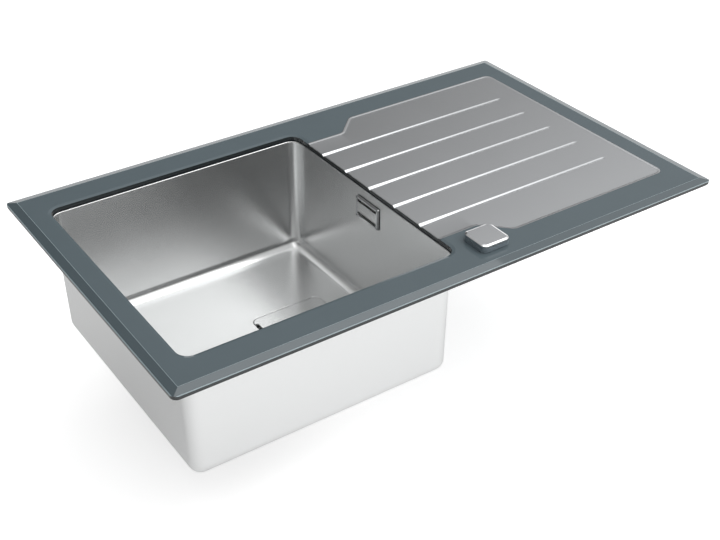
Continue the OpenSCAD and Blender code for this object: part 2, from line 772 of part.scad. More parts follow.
// Steel waste cup: flange, tapered wall, drain seat and a spoked hub
module waste_cup() {
    dish_h = seat_lip * 2;
    color([0.74, 0.75, 0.76]) translate([drain_x, 0, 0]) difference() {
        union() {
            rotate_extrude() polygon([
                [cup_flange_r, z_cup - cup_flange_t], [cup_flange_r, z_cup], [cup_r - cup_wall, z_cup],
                [cup_r - seat_lip - cup_wall, z_seat + dish_h + cup_wall], [seat_r + seat_lip, z_seat],
                [seat_r, z_seat], [seat_r, z_hub_top], [seat_r + seat_lip, z_hub_top],
                [seat_r + seat_lip, z_seat - cup_wall], [cup_r - seat_lip, z_seat + dish_h],
                [cup_r, z_cup - cup_flange_t]]);
            translate([0, 0, z_hub_top]) cylinder(r = hub_r, h = spoke_h);
            for (a = [0:90:270])
                rotate([0, 0, a + 45]) translate([0, -spoke_w / 2, z_hub_top])
                    cube([seat_r + over, spoke_w, spoke_h]);
        }
        translate([0, 0, z_hub_top - over]) cylinder(r = screw_r, h = spoke_h + 2 * over);
    }
}

// Rubber ring between the cup's flange and the recess
module cup_seal() {
    color([0.08, 0.08, 0.08]) translate([drain_x, 0, z_recess]) ring(cup_flange_r - over, waste_hole_r + over,
        cup_ring_t);
}

// Rubber ring between the recess and the waste body
module bowl_seal() {
    color([0.08, 0.08, 0.08]) translate([drain_x, 0, z_body_top]) ring(cup_flange_r, waste_hole_r + over,
        bowl_seal_t);
}

// Moulded waste body: flange, chamber, cone, outlet thread, hub, overflow inlet and shaft boss
module waste_body() {
    cone_in = body_r - body_wall;
    color([0.9, 0.9, 0.88]) difference() {
        union() {
            translate([drain_x, 0, 0]) {
                rotate_extrude() polygon([
                    [cone_in, z_body_top], [cup_flange_r, z_body_top],
                    [cup_flange_r, z_body_top - body_flange_t], [body_r, z_body_top - body_flange_t],
                    [body_r, z_body_low], [outlet_r + body_wall, z_outlet],
                    [outlet_r, z_outlet], [outlet_r, z_outlet - outlet_len],
                    [outlet_bore_r, z_outlet - outlet_len], [outlet_bore_r, z_outlet],
                    [cone_in, z_body_low]]);
                translate([0, 0, z_hub_low]) cylinder(r = hub_r, h = body_hub_h);
                for (a = [60, 180, 300])
                    rotate([0, 0, a]) translate([hub_r / 2, -spoke_w / 2, z_hub_low + spoke_h])
                        cube([cone_in - hub_r / 2 + over, spoke_w, body_spider_h]);
            }
            translate([drain_x + body_r - body_wall, 0, hose_z]) rotate([0, 90, 0])
                cylinder(r = inlet_boss_r, h = inlet_len + body_wall);
            translate([inlet_x - over, 0, hose_z]) rotate([0, 90, 0])
                cylinder(r = spigot_r, h = spigot_len + over);
            translate([shaft_x, -boss_end, shaft_z]) rotate([-90, 0, 0])
                cylinder(r = shaft_boss_r, h = boss_end - boss_in);
        }
        translate([drain_x, 0, z_hub_low - over]) cylinder(r = screw_r, h = body_hub_h + 2 * over);
        translate([drain_x + cone_in - 2 * over, 0, hose_z]) rotate([0, 90, 0])
            cylinder(r = spigot_r - spigot_wall, h = inlet_len + spigot_len + body_wall + 4 * over);
        translate([shaft_x, -boss_end - over, shaft_z]) rotate([-90, 0, 0])
            cylinder(r = shaft_r + run_gap, h = boss_end);
        translate([shaft_x, -boss_end - over, shaft_z]) rotate([-90, 0, 0])
            cylinder(r = seal_pocket_r, h = seal_pocket_d + over);
    }
}

// Hollow screw that draws the cup down onto the body
module waste_screw() {
    color([0.7, 0.71, 0.72]) translate([drain_x, 0, 0]) difference() {
        union() {
            translate([0, 0, z_hub_low + over]) cylinder(r = screw_r, h = z_seat - z_hub_low);
            translate([0, 0, z_seat]) cylinder(r = hub_r - over, h = spoke_h, $fn = 6);
        }
        translate([0, 0, z_hub_low - over]) cylinder(r = stem_r + run_gap, h = body_hub_h + cup_depth);
    }
}

// Perforated strainer basket with its pull knob
module strainer_basket() {
    color([0.78, 0.79, 0.8]) translate([drain_x, 0, 0]) difference() {
        union() {
            rotate_extrude() polygon([
                [0, z_plug], [basket_floor_r, z_plug], [basket_r - basket_t, z_basket - basket_t],
                [basket_r, z_basket - basket_t], [basket_r, z_basket], [basket_r - 2 * basket_t, z_basket],
                [basket_floor_r - basket_t, z_plug + basket_t], [0, z_plug + basket_t]]);
            rotate_extrude() polygon([
                [0, z_plug], [stem_r, z_plug], [stem_r, z_plug + knob_pull_h - basket_t * 2],
                [knob_pull_r, z_plug + knob_pull_h],
                [knob_pull_r - basket_t, z_plug + knob_pull_h + basket_t],
                [0, z_plug + knob_pull_h + basket_t]]);
        }
        for (i = [1:basket_rings], k = [0:basket_first * i - 1])
            rotate([0, 0, 360 * k / (basket_first * i)])
                translate([plug_neck_r + i * basket_hole_step, 0, z_plug - over])
                    cylinder(r = basket_hole_r, h = basket_t + 2 * over, $fn = 24);
    }
}

// Plug disc under the basket that carries the seal
module basket_plug() {
    color([0.2, 0.2, 0.21]) translate([drain_x, 0, 0]) difference() {
        union() {
            translate([0, 0, z_seal_top]) cylinder(r = plug_neck_r, h = z_plug - z_seal_top);
            translate([0, 0, z_seal_top - basket_seal_t]) cylinder(r = plug_neck_r - over, h = basket_seal_t);
        }
        translate([0, 0, z_seal_top - 2 * basket_seal_t]) cylinder(r = stem_r, h = cup_depth);
        translate([0, 0, z_seat - over]) cylinder(r = hub_r, h = spoke_h + air + over);
    }
}

// Rubber seal that closes the seat
module basket_seal() {
    color([0.08, 0.08, 0.08]) translate([drain_x, 0, z_seal_top - basket_seal_t])
        ring(basket_seal_r, plug_neck_r - over, basket_seal_t);
}

// Stem from the basket down to the lever
module basket_stem() {
    color([0.72, 0.66, 0.4]) translate([drain_x, 0, z_stem]) cylinder(r = stem_r, h = z_plug - z_stem);
}

// Shaft of the lift lever with its finger and rounded nose
module lift_lever() {
    color([0.72, 0.66, 0.4]) translate([shaft_x, 0, shaft_z]) {
        translate([0, -boss_end - case_wall - air - arm_t, 0]) rotate([-90, 0, 0])
            cylinder(r = shaft_r, h = boss_end + case_wall + air + arm_t + finger_w);
        rotate([0, -lever_swing / 2, 0]) {
            translate([-lever_len, -finger_w / 2, -finger_t / 2]) cube([lever_len, finger_w, finger_t]);
            translate([-lever_len, -finger_w / 2, 0]) rotate([-90, 0, 0]) cylinder(r = nose_r, h = finger_w);
        }
    }
}

// Arm on the outer end of the shaft that the cable pulls
module cable_arm() {
    color([0.85, 0.85, 0.82]) translate([shaft_x, case_mid_y + arm_t / 2, shaft_z])
        rotate([0, -lever_swing / 2, 0]) rotate([90, 0, 0]) difference() {
            union() {
                cylinder(r = arm_hub_r, h = arm_t);
                translate([-arm_tip_r, 0, 0]) cube([2 * arm_tip_r, arm_len, arm_t]);
                translate([0, arm_len, 0]) cylinder(r = arm_tip_r, h = arm_t);
            }
            translate([0, 0, -over]) cylinder(r = shaft_r, h = arm_t + 2 * over);
        }
}

// Shaft seal in the boss
module shaft_seal() {
    color([0.08, 0.08, 0.08]) translate([shaft_x, -boss_end, shaft_z]) rotate([-90, 0, 0])
        ring(seal_pocket_r, shaft_r + run_gap, seal_pocket_d);
}

// Case round the arm, with a collar on the boss and a socket for the cable
module cable_case() {
    y_lid = case_mid_y - case_room / 2;
    color([0.9, 0.9, 0.88]) difference() {
        union() {
            translate([shaft_x - case_half, y_lid, shaft_z - case_low])
                cube([2 * case_half, case_room + case_wall, case_low + case_high]);
            translate([shaft_x, -boss_end - case_wall, shaft_z]) rotate([-90, 0, 0])
                cylinder(r = shaft_boss_r + case_wall, h = case_wall + seal_pocket_d * 2);
            translate([shaft_x + case_half - over, case_mid_y, shaft_z + arm_len]) rotate([0, 90, 0])
                cylinder(r = socket_r, h = socket_len + over);
        }
        translate([shaft_x - case_half + case_wall, y_lid - over, shaft_z - case_low + case_wall])
            cube([2 * (case_half - case_wall), case_room + over, case_low + case_high - 2 * case_wall]);
        translate([shaft_x, -boss_end, shaft_z]) rotate([-90, 0, 0])
            cylinder(r = shaft_boss_r + fit_gap, h = boss_end);
        translate([shaft_x, y_lid, shaft_z]) rotate([-90, 0, 0])
            cylinder(r = shaft_r + air, h = boss_end);
        translate([shaft_x + case_half - 2 * case_wall, case_mid_y, shaft_z + arm_len]) rotate([0, 90, 0])
            cylinder(r = cable_r + air, h = 2 * case_wall + socket_len + over);
    }
}

// Lid of the case
module cable_case_lid() {
    color([0.84, 0.84, 0.82])
        translate([shaft_x - case_half, case_mid_y - case_room / 2 - case_wall, shaft_z - case_low])
            cube([2 * case_half - over, case_wall, case_low + case_high]);
}

// Steel cap of the knob, with a polished sloping edge and a pocket below
module knob_cap() {
    z0 = z_top + knob_lift + grip_h;
    h = knob_w / 2;
    color([0.83, 0.84, 0.85]) translate([knob_x, knob_y, z0]) difference() {
        ring_solid([
            rect_ring(0, 0, h, h, knob_corner_r, 0),
            rect_ring(0, 0, h, h, knob_corner_r, cap_h - cap_edge_h),
            rect_ring(0, 0, h - cap_edge_w, h - cap_edge_w, knob_corner_r - cap_edge_w, cap_h)]);
        translate([0, 0, -over])
            rounded_plate(key_w + fit_gap, key_w + fit_gap, knob_corner_r / 2, key_h + fit_gap + over);
    }
}

// Dark grip of the knob, with fine lines round it and a key for the cap
module knob_grip() {
    z0 = z_top + knob_lift;
    line_pitch = grip_h / (grip_lines + 1);
    color([0.3, 0.33, 0.36]) translate([knob_x, knob_y, z0]) difference() {
        union() {
            rounded_plate(knob_w, knob_w, knob_corner_r, grip_h);
            translate([0, 0, grip_h - over]) rounded_plate(key_w, key_w, knob_corner_r / 2, key_h + over);
        }
        for (i = [1:grip_lines])
            translate([0, 0, i * line_pitch - groove_line / 2])
                rounded_frame(knob_w + 2 * over, knob_w + 2 * over, knob_corner_r + over, over + groove_line,
                    groove_line);
        translate([0, 0, -over]) cylinder(r = grip_cavity_r, h = grip_cavity_h + over);
        cylinder(r = spindle_r, h = grip_h + key_h - over);
    }
}

// Spindle from the knob down to the drum
module knob_spindle() {
    z1 = z_top + knob_lift + grip_h + key_h - over;
    color([0.75, 0.75, 0.76]) translate([knob_x, knob_y, z_case_low + air])
        cylinder(r = spindle_r, h = z1 - z_case_low - air);
}

// Threaded bush through the glass
module knob_bush() {
    z0 = z_top + washer_t;
    color([0.72, 0.66, 0.4]) translate([knob_x, knob_y, 0]) difference() {
        union() {
            translate([0, 0, z0]) cylinder(r = bush_flange_r, h = bush_flange_t);
            translate([0, 0, z_bush_low]) cylinder(r = bush_r, h = z0 - z_bush_low + over);
        }
        translate([0, 0, z_bush_low - over])
            cylinder(r = spindle_r + run_gap, h = z0 + bush_flange_t - z_bush_low + 2 * over);
    }
}

// Rubber washer above the glass
module top_washer() {
    color([0.08, 0.08, 0.08]) translate([knob_x, knob_y, z_top]) ring(bush_flange_r, bush_r, washer_t);
}

// Rubber washer below the glass
module under_washer() {
    color([0.08, 0.08, 0.08]) translate([knob_x, knob_y, z_under - washer_t]) ring(nut_r, bush_r, washer_t);
}

// Hexagon nut on the bush
module knob_nut() {
    color([0.72, 0.66, 0.4]) translate([knob_x, knob_y, z_nut]) difference() {
        cylinder(r = nut_r, h = nut_h, $fn = 6);
        translate([0, 0, -over]) cylinder(r = bush_r, h = nut_h + 2 * over);
    }
}

// Grooved drum on the spindle that winds the cable
module cable_drum() {
    rim = drum_r + drum_flange;
    color([0.85, 0.85, 0.82]) translate([knob_x, knob_y, z_drum - drum_h]) rotate_extrude() polygon([
        [spindle_r, 0], [rim, 0], [rim, drum_rim_t], [drum_r, drum_h / 2 - core_r],
        [drum_r, drum_h / 2 + core_r], [rim, drum_h - drum_rim_t], [rim, drum_h], [spindle_r, drum_h]]);
}

// Case round the drum, held on the bush, with a socket for the cable
module drum_case() {
    z_mid = z_drum - drum_h / 2;
    color([0.9, 0.9, 0.88]) translate([knob_x, knob_y, 0]) difference() {
        union() {
            translate([0, 0, z_case_low]) cylinder(r = drum_case_r, h = z_case - z_case_low);
            translate([drum_r, 0, z_mid]) rotate([-90, 0, 0])
                cylinder(r = socket_r, h = drum_case_r + socket_len);
        }
        translate([0, 0, z_case_low - over])
            cylinder(r = drum_case_r - case_wall, h = z_case - case_wall - z_case_low + over);
        translate([0, 0, z_case_low]) cylinder(r = bush_r + fit_gap, h = z_case - z_case_low + over);
        translate([drum_r, over, z_mid]) rotate([-90, 0, 0])
            cylinder(r = cable_r + air, h = drum_case_r + socket_len);
    }
}

// Lid under the drum
module drum_case_lid() {
    color([0.84, 0.84, 0.82]) translate([knob_x, knob_y, z_case_low - case_wall]) {
        cylinder(r = drum_case_r, h = case_wall);
        translate([0, 0, case_wall - over]) ring(drum_case_r - case_wall - fit_gap,
            drum_case_r - 2 * case_wall, case_wall);
    }
}

// Place of the overflow on the bowl's right wall, leaning with the wall, +X out of the bowl
module at_overflow() {
    translate([over_x, 0, over_z]) rotate([0, wall_tilt, 0]) children();
}

// Bevelled rectangular frame seen in the bowl
module overflow_frame() {
    color([0.7, 0.71, 0.72]) at_overflow() rotate([0, -90, 0]) translate([0, 0, over_seal_t])
        difference() {
            ring_solid([
                rect_ring(0, 0, over_h / 2, over_w / 2, over_corner_r, 0),
                rect_ring(0, 0, over_h / 2, over_w / 2, over_corner_r, over_seal_t),
                rect_ring(0, 0, over_h / 2 - over_bevel, over_w / 2 - over_bevel,
                    over_corner_r - over_bevel / 2, over_frame_t)]);
            translate([0, 0, -over])
                rounded_plate(over_window_h, over_window_w, edge_r, over_frame_t + 2 * over);
        }
    color([0.7, 0.71, 0.72]) at_overflow()
        translate([-over_seal_t - web_t, -over_window_w / 2, insert_z - web_h / 2])
        difference() {
            cube([web_t, over_window_w, web_h]);
            translate([-over, over_window_w / 2, web_h / 2]) rotate([0, 90, 0])
                cylinder(r = over_screw_r, h = web_t + 2 * over);
        }
}

// Snap-in plate between the overflow's two slots
module overflow_insert() {
    color([0.66, 0.67, 0.68]) at_overflow()
        translate([-over_seal_t - over_frame_t, -over_window_w / 2 + fit_gap, insert_z - insert_h / 2])
            difference() {
                cube([over_frame_t - web_t, over_window_w - 2 * fit_gap, insert_h]);
                translate([insert_t, insert_t, insert_t])
                    cube([over_frame_t, over_window_w - 2 * (fit_gap + insert_t), insert_h - 2 * insert_t]);
            }
}

// Screw that draws the frame to the housing
module overflow_screw() {
    color([0.6, 0.61, 0.62]) at_overflow() translate([-over_seal_t - web_t, 0, insert_z]) rotate([0, 90, 0]) {
        cylinder(r = over_screw_r, h = over_seal_t + web_t + sheet_t + gasket_t + boss_len);
        translate([0, 0, -screw_head_h]) cylinder(r = screw_head_r, h = screw_head_h);
    }
}

// Rubber frame between the overflow frame and the wall
module overflow_seal() {
    color([0.08, 0.08, 0.08]) at_overflow() rotate([0, -90, 0])
        rounded_frame(over_h - over, over_w - over, over_corner_r, over_border - over, over_seal_t);
}

// Rubber frame between the wall and the housing
module overflow_gasket() {
    color([0.08, 0.08, 0.08]) at_overflow() translate([sheet_t + gasket_t, 0, 0]) rotate([0, -90, 0])
        rounded_frame(house_h, house_w + 2 * house_flange, over_corner_r, house_wall + over, gasket_t);
}

// Moulded housing behind the wall, with a screw boss and a spigot for the hose
module overflow_housing() {
    x0 = sheet_t + gasket_t;
    color([0.9, 0.9, 0.88]) at_overflow() difference() {
        union() {
            translate([x0, -house_w / 2 - house_flange, -house_h / 2])
                cube([house_flange_t, house_w + 2 * house_flange, house_h]);
            difference() {
                translate([x0, -house_w / 2, -house_h / 2]) cube([house_depth, house_w, house_h]);
                translate([x0 - over, -house_w / 2 + house_wall, -house_h / 2 + house_wall])
                    cube([house_depth + over - house_wall, house_w - 2 * house_wall,
                        house_h - 2 * house_wall]);
            }
            translate([x0, 0, insert_z]) rotate([0, 90, 0]) cylinder(r = boss_r, h = house_depth - over);
            translate([spigot_x, 0, -house_h / 2 - spigot_len])
                cylinder(r = spigot_r, h = spigot_len + house_wall);
        }
        translate([x0 - over, -over_hole_w / 2, -over_hole_h / 2])
            difference() {
                cube([house_flange_t + over, over_hole_w, over_hole_h]);
                translate([-over, over_hole_w / 2, over_hole_h / 2 + insert_z]) rotate([0, 90, 0])
                    cylinder(r = boss_r, h = house_depth);
            }
        translate([x0 - over, 0, insert_z]) rotate([0, 90, 0])
            cylinder(r = over_screw_r, h = boss_len + over);
        translate([spigot_x, 0, -house_h / 2 - spigot_len - over])
            cylinder(r = spigot_r - spigot_wall, h = spigot_len + house_wall + 2 * over);
    }
}

// Point and direction of travel at a distance s along the hose, in the X-Z plane
function hose_at(s) =
    let (a0 = 270 - wall_tilt, c = hose_start + hose_drop * [cos(a0), sin(a0)])
    s <= hose_drop ? [hose_start + s * [cos(a0), sin(a0)], a0]
    : s >= hose_drop + hose_arc ? [hose_corner - (s - hose_drop - hose_arc) * [1, 0], 180]
    : let (a = a0 - (s - hose_drop) / hose_bend_r * 180 / PI)
        [c + hose_bend_r * [sin(a0) - sin(a), cos(a) - cos(a0)], a];

// Ring of the hose at a distance s, of radius r
function hose_ring(s, r) =
    let (p = hose_at(s), c = p[0], a = p[1])
    [for (k = [0:hose_sides - 1])
        let (b = 360 * (k + 0.5) / hose_sides, n = r * cos(b), w = r * sin(b))
        [c[0] + n * sin(a), w, c[1] - n * cos(a)]];

// Ribbed hose from the overflow down to the waste body
module overflow_hose() {
    s1 = hose_end + rib_count * rib_pitch;
    outer = concat(
        [hose_ring(0, hose_plain_r), hose_ring(hose_end - rib_pitch / 2, hose_plain_r)],
        [for (i = [0:rib_count - 1]) each [
            hose_ring(hose_end + i * rib_pitch, hose_valley_r),
            hose_ring(hose_end + (i + 0.5) * rib_pitch, hose_r)]],
        [hose_ring(s1, hose_valley_r), hose_ring(s1 + rib_pitch / 2, hose_plain_r),
            hose_ring(hose_len, hose_plain_r)]);
    inner = [for (i = [0:bore_steps]) hose_ring(hose_len * i / bore_steps, hose_bore_r)];
    color([0.75, 0.75, 0.74]) tube_solid(outer, inner);
}

// Collars on the two plain ends of the hose
module hose_collars() {
    color([0.85, 0.85, 0.82]) {
        for (s = [collar_at, hose_len - collar_at - collar_w])
            let (p = hose_at(s))
                translate([p[0][0], 0, p[0][1]]) rotate([0, 90 - p[1], 0])
                    ring(hose_plain_r + collar_t, hose_plain_r + fit_gap, collar_w);
    }
}

// Point on a smooth curve through four route points
function curve(a, b, c, d, t) =
    0.5 * (2 * b + (c - a) * t + (2 * a - 5 * b + 4 * c - d) * t * t + (3 * b - a - 3 * c + d) * t * t * t);

// Points of the cable, smoothed between the route's points
function cable_points() =
    let (r = cable_route, n = len(r))
    concat([for (i = [0:n - 2], k = [0:cable_steps - 1])
        curve(r[max(i - 1, 0)], r[i], r[i + 1], r[min(i + 2, n - 1)], k / cable_steps)], [r[n - 1]]);

// Rings of radius r along a list of points
function path_rings(pts, r) = [
    for (i = [0:len(pts) - 1])
        let (t = pts[min(i + 1, len(pts) - 1)] - pts[max(i - 1, 0)], u = t / norm(t),
            n = cross(u, [1, 1, -1]), v = n / norm(n), w = cross(u, v))
        [for (k = [0:cable_sides - 1])
            let (b = 360 * k / cable_sides)
            pts[i] + r * cos(b) * v + r * sin(b) * w]];

// Sheath of the cable from the drum to the lever's arm
module cable_sheath() {
    pts = cable_points();
    color([0.15, 0.15, 0.16]) tube_solid(path_rings(pts, cable_r), path_rings(pts, cable_bore_r));
}

// Wire inside the sheath
module cable_core() {
    pts = cable_points();
    color([0.7, 0.7, 0.72]) ring_solid(path_rings(pts, core_r));
}

glass_top();
drainer_panel();
drainer_bond();
bowl();
bowl_bond();
rim_seal();
sound_pad();
clip_brackets();
clip_pins();
front_clips();
front_clip_screws();
back_clips();
back_clip_screws();
side_clips();
side_clip_screws();
drain_cover();
cover_feet();
waste_cup();
cup_seal();
bowl_seal();
waste_body();
waste_screw();
strainer_basket();
basket_plug();
basket_seal();
basket_stem();
lift_lever();
cable_arm();
shaft_seal();
cable_case();
cable_case_lid();
cable_sheath();
cable_core();
knob_cap();
knob_grip();
knob_spindle();
cable_drum();
knob_bush();
top_washer();
under_washer();
knob_nut();
drum_case();
drum_case_lid();
overflow_frame();
overflow_insert();
overflow_screw();
overflow_seal();
overflow_gasket();
overflow_housing();
overflow_hose();
hose_collars();
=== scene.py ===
"""Looks of the kitchen sink: a grey glass top with a steel bowl, a ribbed drainer and a turning knob."""
import json
import math

import bmesh
import bpy
from mathutils import Matrix, Vector


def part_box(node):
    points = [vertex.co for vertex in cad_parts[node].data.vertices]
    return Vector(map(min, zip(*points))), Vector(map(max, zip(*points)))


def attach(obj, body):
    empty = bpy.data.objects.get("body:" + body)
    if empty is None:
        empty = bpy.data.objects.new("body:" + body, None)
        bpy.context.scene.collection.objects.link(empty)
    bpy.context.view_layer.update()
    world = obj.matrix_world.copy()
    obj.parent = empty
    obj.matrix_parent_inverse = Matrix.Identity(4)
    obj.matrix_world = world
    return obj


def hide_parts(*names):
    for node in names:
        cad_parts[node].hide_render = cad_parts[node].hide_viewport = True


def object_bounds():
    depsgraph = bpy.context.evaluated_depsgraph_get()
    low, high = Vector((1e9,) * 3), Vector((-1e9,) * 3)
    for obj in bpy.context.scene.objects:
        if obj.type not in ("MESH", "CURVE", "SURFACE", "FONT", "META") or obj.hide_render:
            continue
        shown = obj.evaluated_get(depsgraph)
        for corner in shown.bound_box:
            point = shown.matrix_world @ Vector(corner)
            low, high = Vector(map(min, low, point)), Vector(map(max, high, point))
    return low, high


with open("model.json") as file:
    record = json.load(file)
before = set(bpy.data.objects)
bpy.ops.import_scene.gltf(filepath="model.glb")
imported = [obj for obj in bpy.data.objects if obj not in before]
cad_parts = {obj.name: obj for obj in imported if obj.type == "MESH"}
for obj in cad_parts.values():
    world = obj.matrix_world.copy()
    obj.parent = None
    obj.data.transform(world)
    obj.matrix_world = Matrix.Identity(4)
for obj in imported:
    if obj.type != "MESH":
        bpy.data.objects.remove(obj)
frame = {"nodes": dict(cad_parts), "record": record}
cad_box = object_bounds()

MM = 0.001
WELD = 0.001 * MM
OVERRUN = 3 * MM
SIDES = ((1, 0), (-1, 0), (0, 1), (0, -1))

# Glass top
glass_low, glass_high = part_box("glass_top")
z_under, z_top = glass_low.z, glass_high.z
bevel_w, bevel_drop = 12.5 * MM, 2.7 * MM
plate_corner = 8 * MM
edge_slope, edge_drop = math.radians(30), 0.4 * MM
# Widths of the pale strips painted as highlight lines: on the small slope at the outer rim and just inside the bevel's
# top edge
rim_highlight_w, ground_highlight_w = 0.7 * MM, 0.5 * MM
arris_w, arris_drop = 4.5 * MM, 1.2 * MM
cut_corner = 17 * MM
knob_hole_r = 12 * MM

# Bowl
bowl_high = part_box("bowl")[1]
cut_size = 400 * MM
cut_x0 = glass_low.x + 40 * MM
cut_x1 = cut_x0 + cut_size
bowl_x = (cut_x0 + cut_x1) / 2
reveal, draft = 1.5 * MM, 2.3 * MM
wall_corner, cove = 16.5 * MM, 15.5 * MM
mouth_r = 1.2 * MM
sheet_t, flange_w = 1 * MM, 20.5 * MM
z_floor = z_top - 195 * MM
floor_fall = 1.5 * MM

# Drain
cover_low, cover_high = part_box("drain_cover")
drain_x = (cover_low.x + cover_high.x) / 2
z_drain = z_floor - floor_fall
recess_half = (cover_high.x - cover_low.x) / 2 + 1 * MM
recess_corner, recess_edge_r = 13 * MM, 0.5 * MM
pan_gap, pan_step = 5 * MM, 5 * MM
hole_r, hole_cuts = 44 * MM, 14
cover_corner, cover_edge_r = 12 * MM, 0.3 * MM
slot_depth, slot_len, slot_h = 10 * MM, 92 * MM, 20 * MM

# Drainer panel
panel_low, panel_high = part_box("drainer_panel")
panel_x0 = panel_low.x
notch_d, notch_len = 36.5 * MM, 62 * MM
panel_corner, notch_corner = 12 * MM, 5 * MM
rim_w, slope_w, under_slope_w, field_drop = 3.5 * MM, 1.3 * MM, 1 * MM, 1 * MM
panel_t = 1 * MM
side_gap, under_gap, groove_gap = 0.3 * MM, 0.5 * MM, 0.3 * MM
groove_len, groove_w, groove_depth, groove_pitch, groove_count = 344 * MM, 9 * MM, 2.2 * MM, 60 * MM, 5
groove_start, groove_lift = 1 * MM, 0.5 * MM
# Sections of a groove: distance from the bowl, width, depth
groove_sections = ((-groove_start, groove_w, groove_depth), (70 * MM, 7.5 * MM, 1.05 * MM),
                   (groove_len - 9 * MM, 6 * MM, 0.5 * MM))
# Half of its section: shares of the half width and of the depth
groove_shares = ((-1, 0), (-0.92, 0.03), (-0.8, 0.14), (-0.2, 0.86), (-0.08, 0.97))

# Knob
cap_low, cap_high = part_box("knob_cap")
grip_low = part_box("knob_grip")[0]
knob_x, knob_y = (cap_low.x + cap_high.x) / 2, (cap_low.y + cap_high.y) / 2
knob_corner, knob_edge_r = 8 * MM, 0.25 * MM
cap_slope_w, cap_slope_h = 3 * MM, 1.1 * MM
grip_lines, grip_line_w, grip_line_d = 5, 0.35 * MM, 0.35 * MM

# Overflow
over_low, over_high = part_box("overflow_frame")
over_z = (over_low.z + over_high.z) / 2
window_w, window_h = 44 * MM, 22 * MM
wall_tilt = math.radians(0.784)
frame_w, frame_h, frame_corner, frame_edge_r = 55 * MM, 35 * MM, 2 * MM, 0.25 * MM
frame_foot, frame_slope_w, frame_slope_h, frame_band, frame_depth = 0.5 * MM, 1.5 * MM, 2.5 * MM, 3 * MM, 3 * MM
insert_half, insert_low, insert_high, insert_corner = 22.9 * MM, -7 * MM, 8.5 * MM, 0.8 * MM
insert_back, insert_t, insert_edge_r = 0.2 * MM, 2.6 * MM, 0.5 * MM
hose_start, hose_level, hose_end = Vector((24.40 * MM, 0, -45.72 * MM)), -225.5 * MM, -49 * MM
hose_bend, hose_pitch, hose_plain = 47 * MM, 4.5 * MM, 24 * MM
hose_r, hose_rib, tube_wall = 11.2 * MM, 0.8 * MM, 1.2 * MM

# Cable
cable_r = 2.5 * MM


def paint(hex_colour):
    """An sRGB hex colour as the linear RGBA that the nodes take."""
    rgb = [int(hex_colour[i:i + 2], 16) / 255 for i in (1, 3, 5)]
    return (*[c / 12.92 if c <= 0.04045 else ((c + 0.055) / 1.055) ** 2.4 for c in rgb], 1)


def add(tree, kind, links=None, **settings):
    """A node of one kind with its settings; links map its inputs to other nodes' outputs."""
    node = tree.nodes.new(kind)
    for key, value in settings.items():
        if hasattr(node, key):
            setattr(node, key, value)
        else:
            node.inputs[key.replace("_", " ")].default_value = value
    for key, output in (links or {}).items():
        tree.links.new(output, node.inputs[key])
    return node


def finish(name, colour, roughness, metallic=0.0, grain=(1, 1, 1), grain_mm=1.0, bump=0.0, tone=0.06,
           rough_tone=0.08, **shader):
    """A material whose colour, roughness and relief vary with one stretched noise of a real grain size."""
    material = bpy.data.materials.new(name)
    material.use_nodes = True
    tree = material.node_tree
    tree.nodes.clear()
    place = add(tree, "ShaderNodeTexCoord")
    stretch = add(tree, "ShaderNodeMapping", {"Vector": place.outputs["Object"]}, Scale=grain)
    noise = add(tree, "ShaderNodeTexNoise", {"Vector": stretch.outputs[0]}, Scale=1 / (grain_mm * MM), Detail=4.0,
                Roughness=0.6)
    cloud = add(tree, "ShaderNodeTexNoise", {"Vector": place.outputs["Object"]}, Scale=1 / (90 * MM), Detail=2.0)
    spread = add(tree, "ShaderNodeMath", {0: noise.outputs[0], 1: cloud.outputs[0]}, operation="ADD")
    level = add(tree, "ShaderNodeMapRange", {"Value": spread.outputs[0]}, From_Min=0.7, From_Max=1.3, To_Min=1 - tone,
                To_Max=1 + tone)
    shade = add(tree, "ShaderNodeMix", {7: level.outputs[0]}, data_type="RGBA", blend_type="MULTIPLY")
    shade.inputs["Factor"].default_value = 1
    shade.inputs[6].default_value = paint(colour)
    rough = add(tree, "ShaderNodeMapRange", {"Value": spread.outputs[0]}, From_Min=0.7, From_Max=1.3,
                To_Min=max(roughness - rough_tone, 0.02), To_Max=roughness + rough_tone)
    skin = add(tree, "ShaderNodeBsdfPrincipled", {"Base Color": shade.outputs[2], "Roughness": rough.outputs[0]},
               Metallic=metallic, **shader)
    if bump:
        relief = add(tree, "ShaderNodeBump", {"Height": noise.outputs[0]}, Distance=bump * MM, Strength=1.0)
        tree.links.new(relief.outputs[0], skin.inputs["Normal"])
    add(tree, "ShaderNodeOutputMaterial", {"Surface": skin.outputs[0]})
    return material


# Toughened float glass, enamelled grey on its underside: a deep even grey under a mirror-smooth skin
grey_glass = finish("enamelled_toughened_glass", "#576267", 0.03, tone=0.02, rough_tone=0.01, grain_mm=30, IOR=1.52,
                    Specular_IOR_Level=0.22)
# The same glass where its edge is ground and polished, as a copy with its own painted tone and a stronger reflection:
# painted light that stands in for the light entering there, which makes the bevel look paler and bluer
glass_bevel_painted_light = finish("polished_glass_bevel_painted_light", "#4a555a", 0.04, tone=0.03, rough_tone=0.01, grain_mm=30, IOR=1.52)
# The fine ground line where bevel and face meet, and the small slope at the plate's outer rim: frosted, with a pale
# colour painted on as the bright highlight line these edges catch, so it stays pale from every side
glass_highlight_line = finish("ground_glass_painted_highlight", "#8f9ea3", 0.35, tone=0.03, rough_tone=0.03, grain_mm=4, IOR=1.52)
# The upright cut edge of the glass: dark, with the depth of the glass behind it
glass_edge = finish("ground_glass_edge", "#2f3436", 0.12, tone=0.05, grain_mm=2, IOR=1.52)
# Deep-drawn 18/10 stainless steel, satin polished: soft reflections with a faint drawn grain
satin_steel = finish("satin_drawn_stainless_steel", "#dbdcdc", 0.25, 1.0, (1, 1, 0.1), 1.5, 0, tone=0.004,
                     rough_tone=0.004)
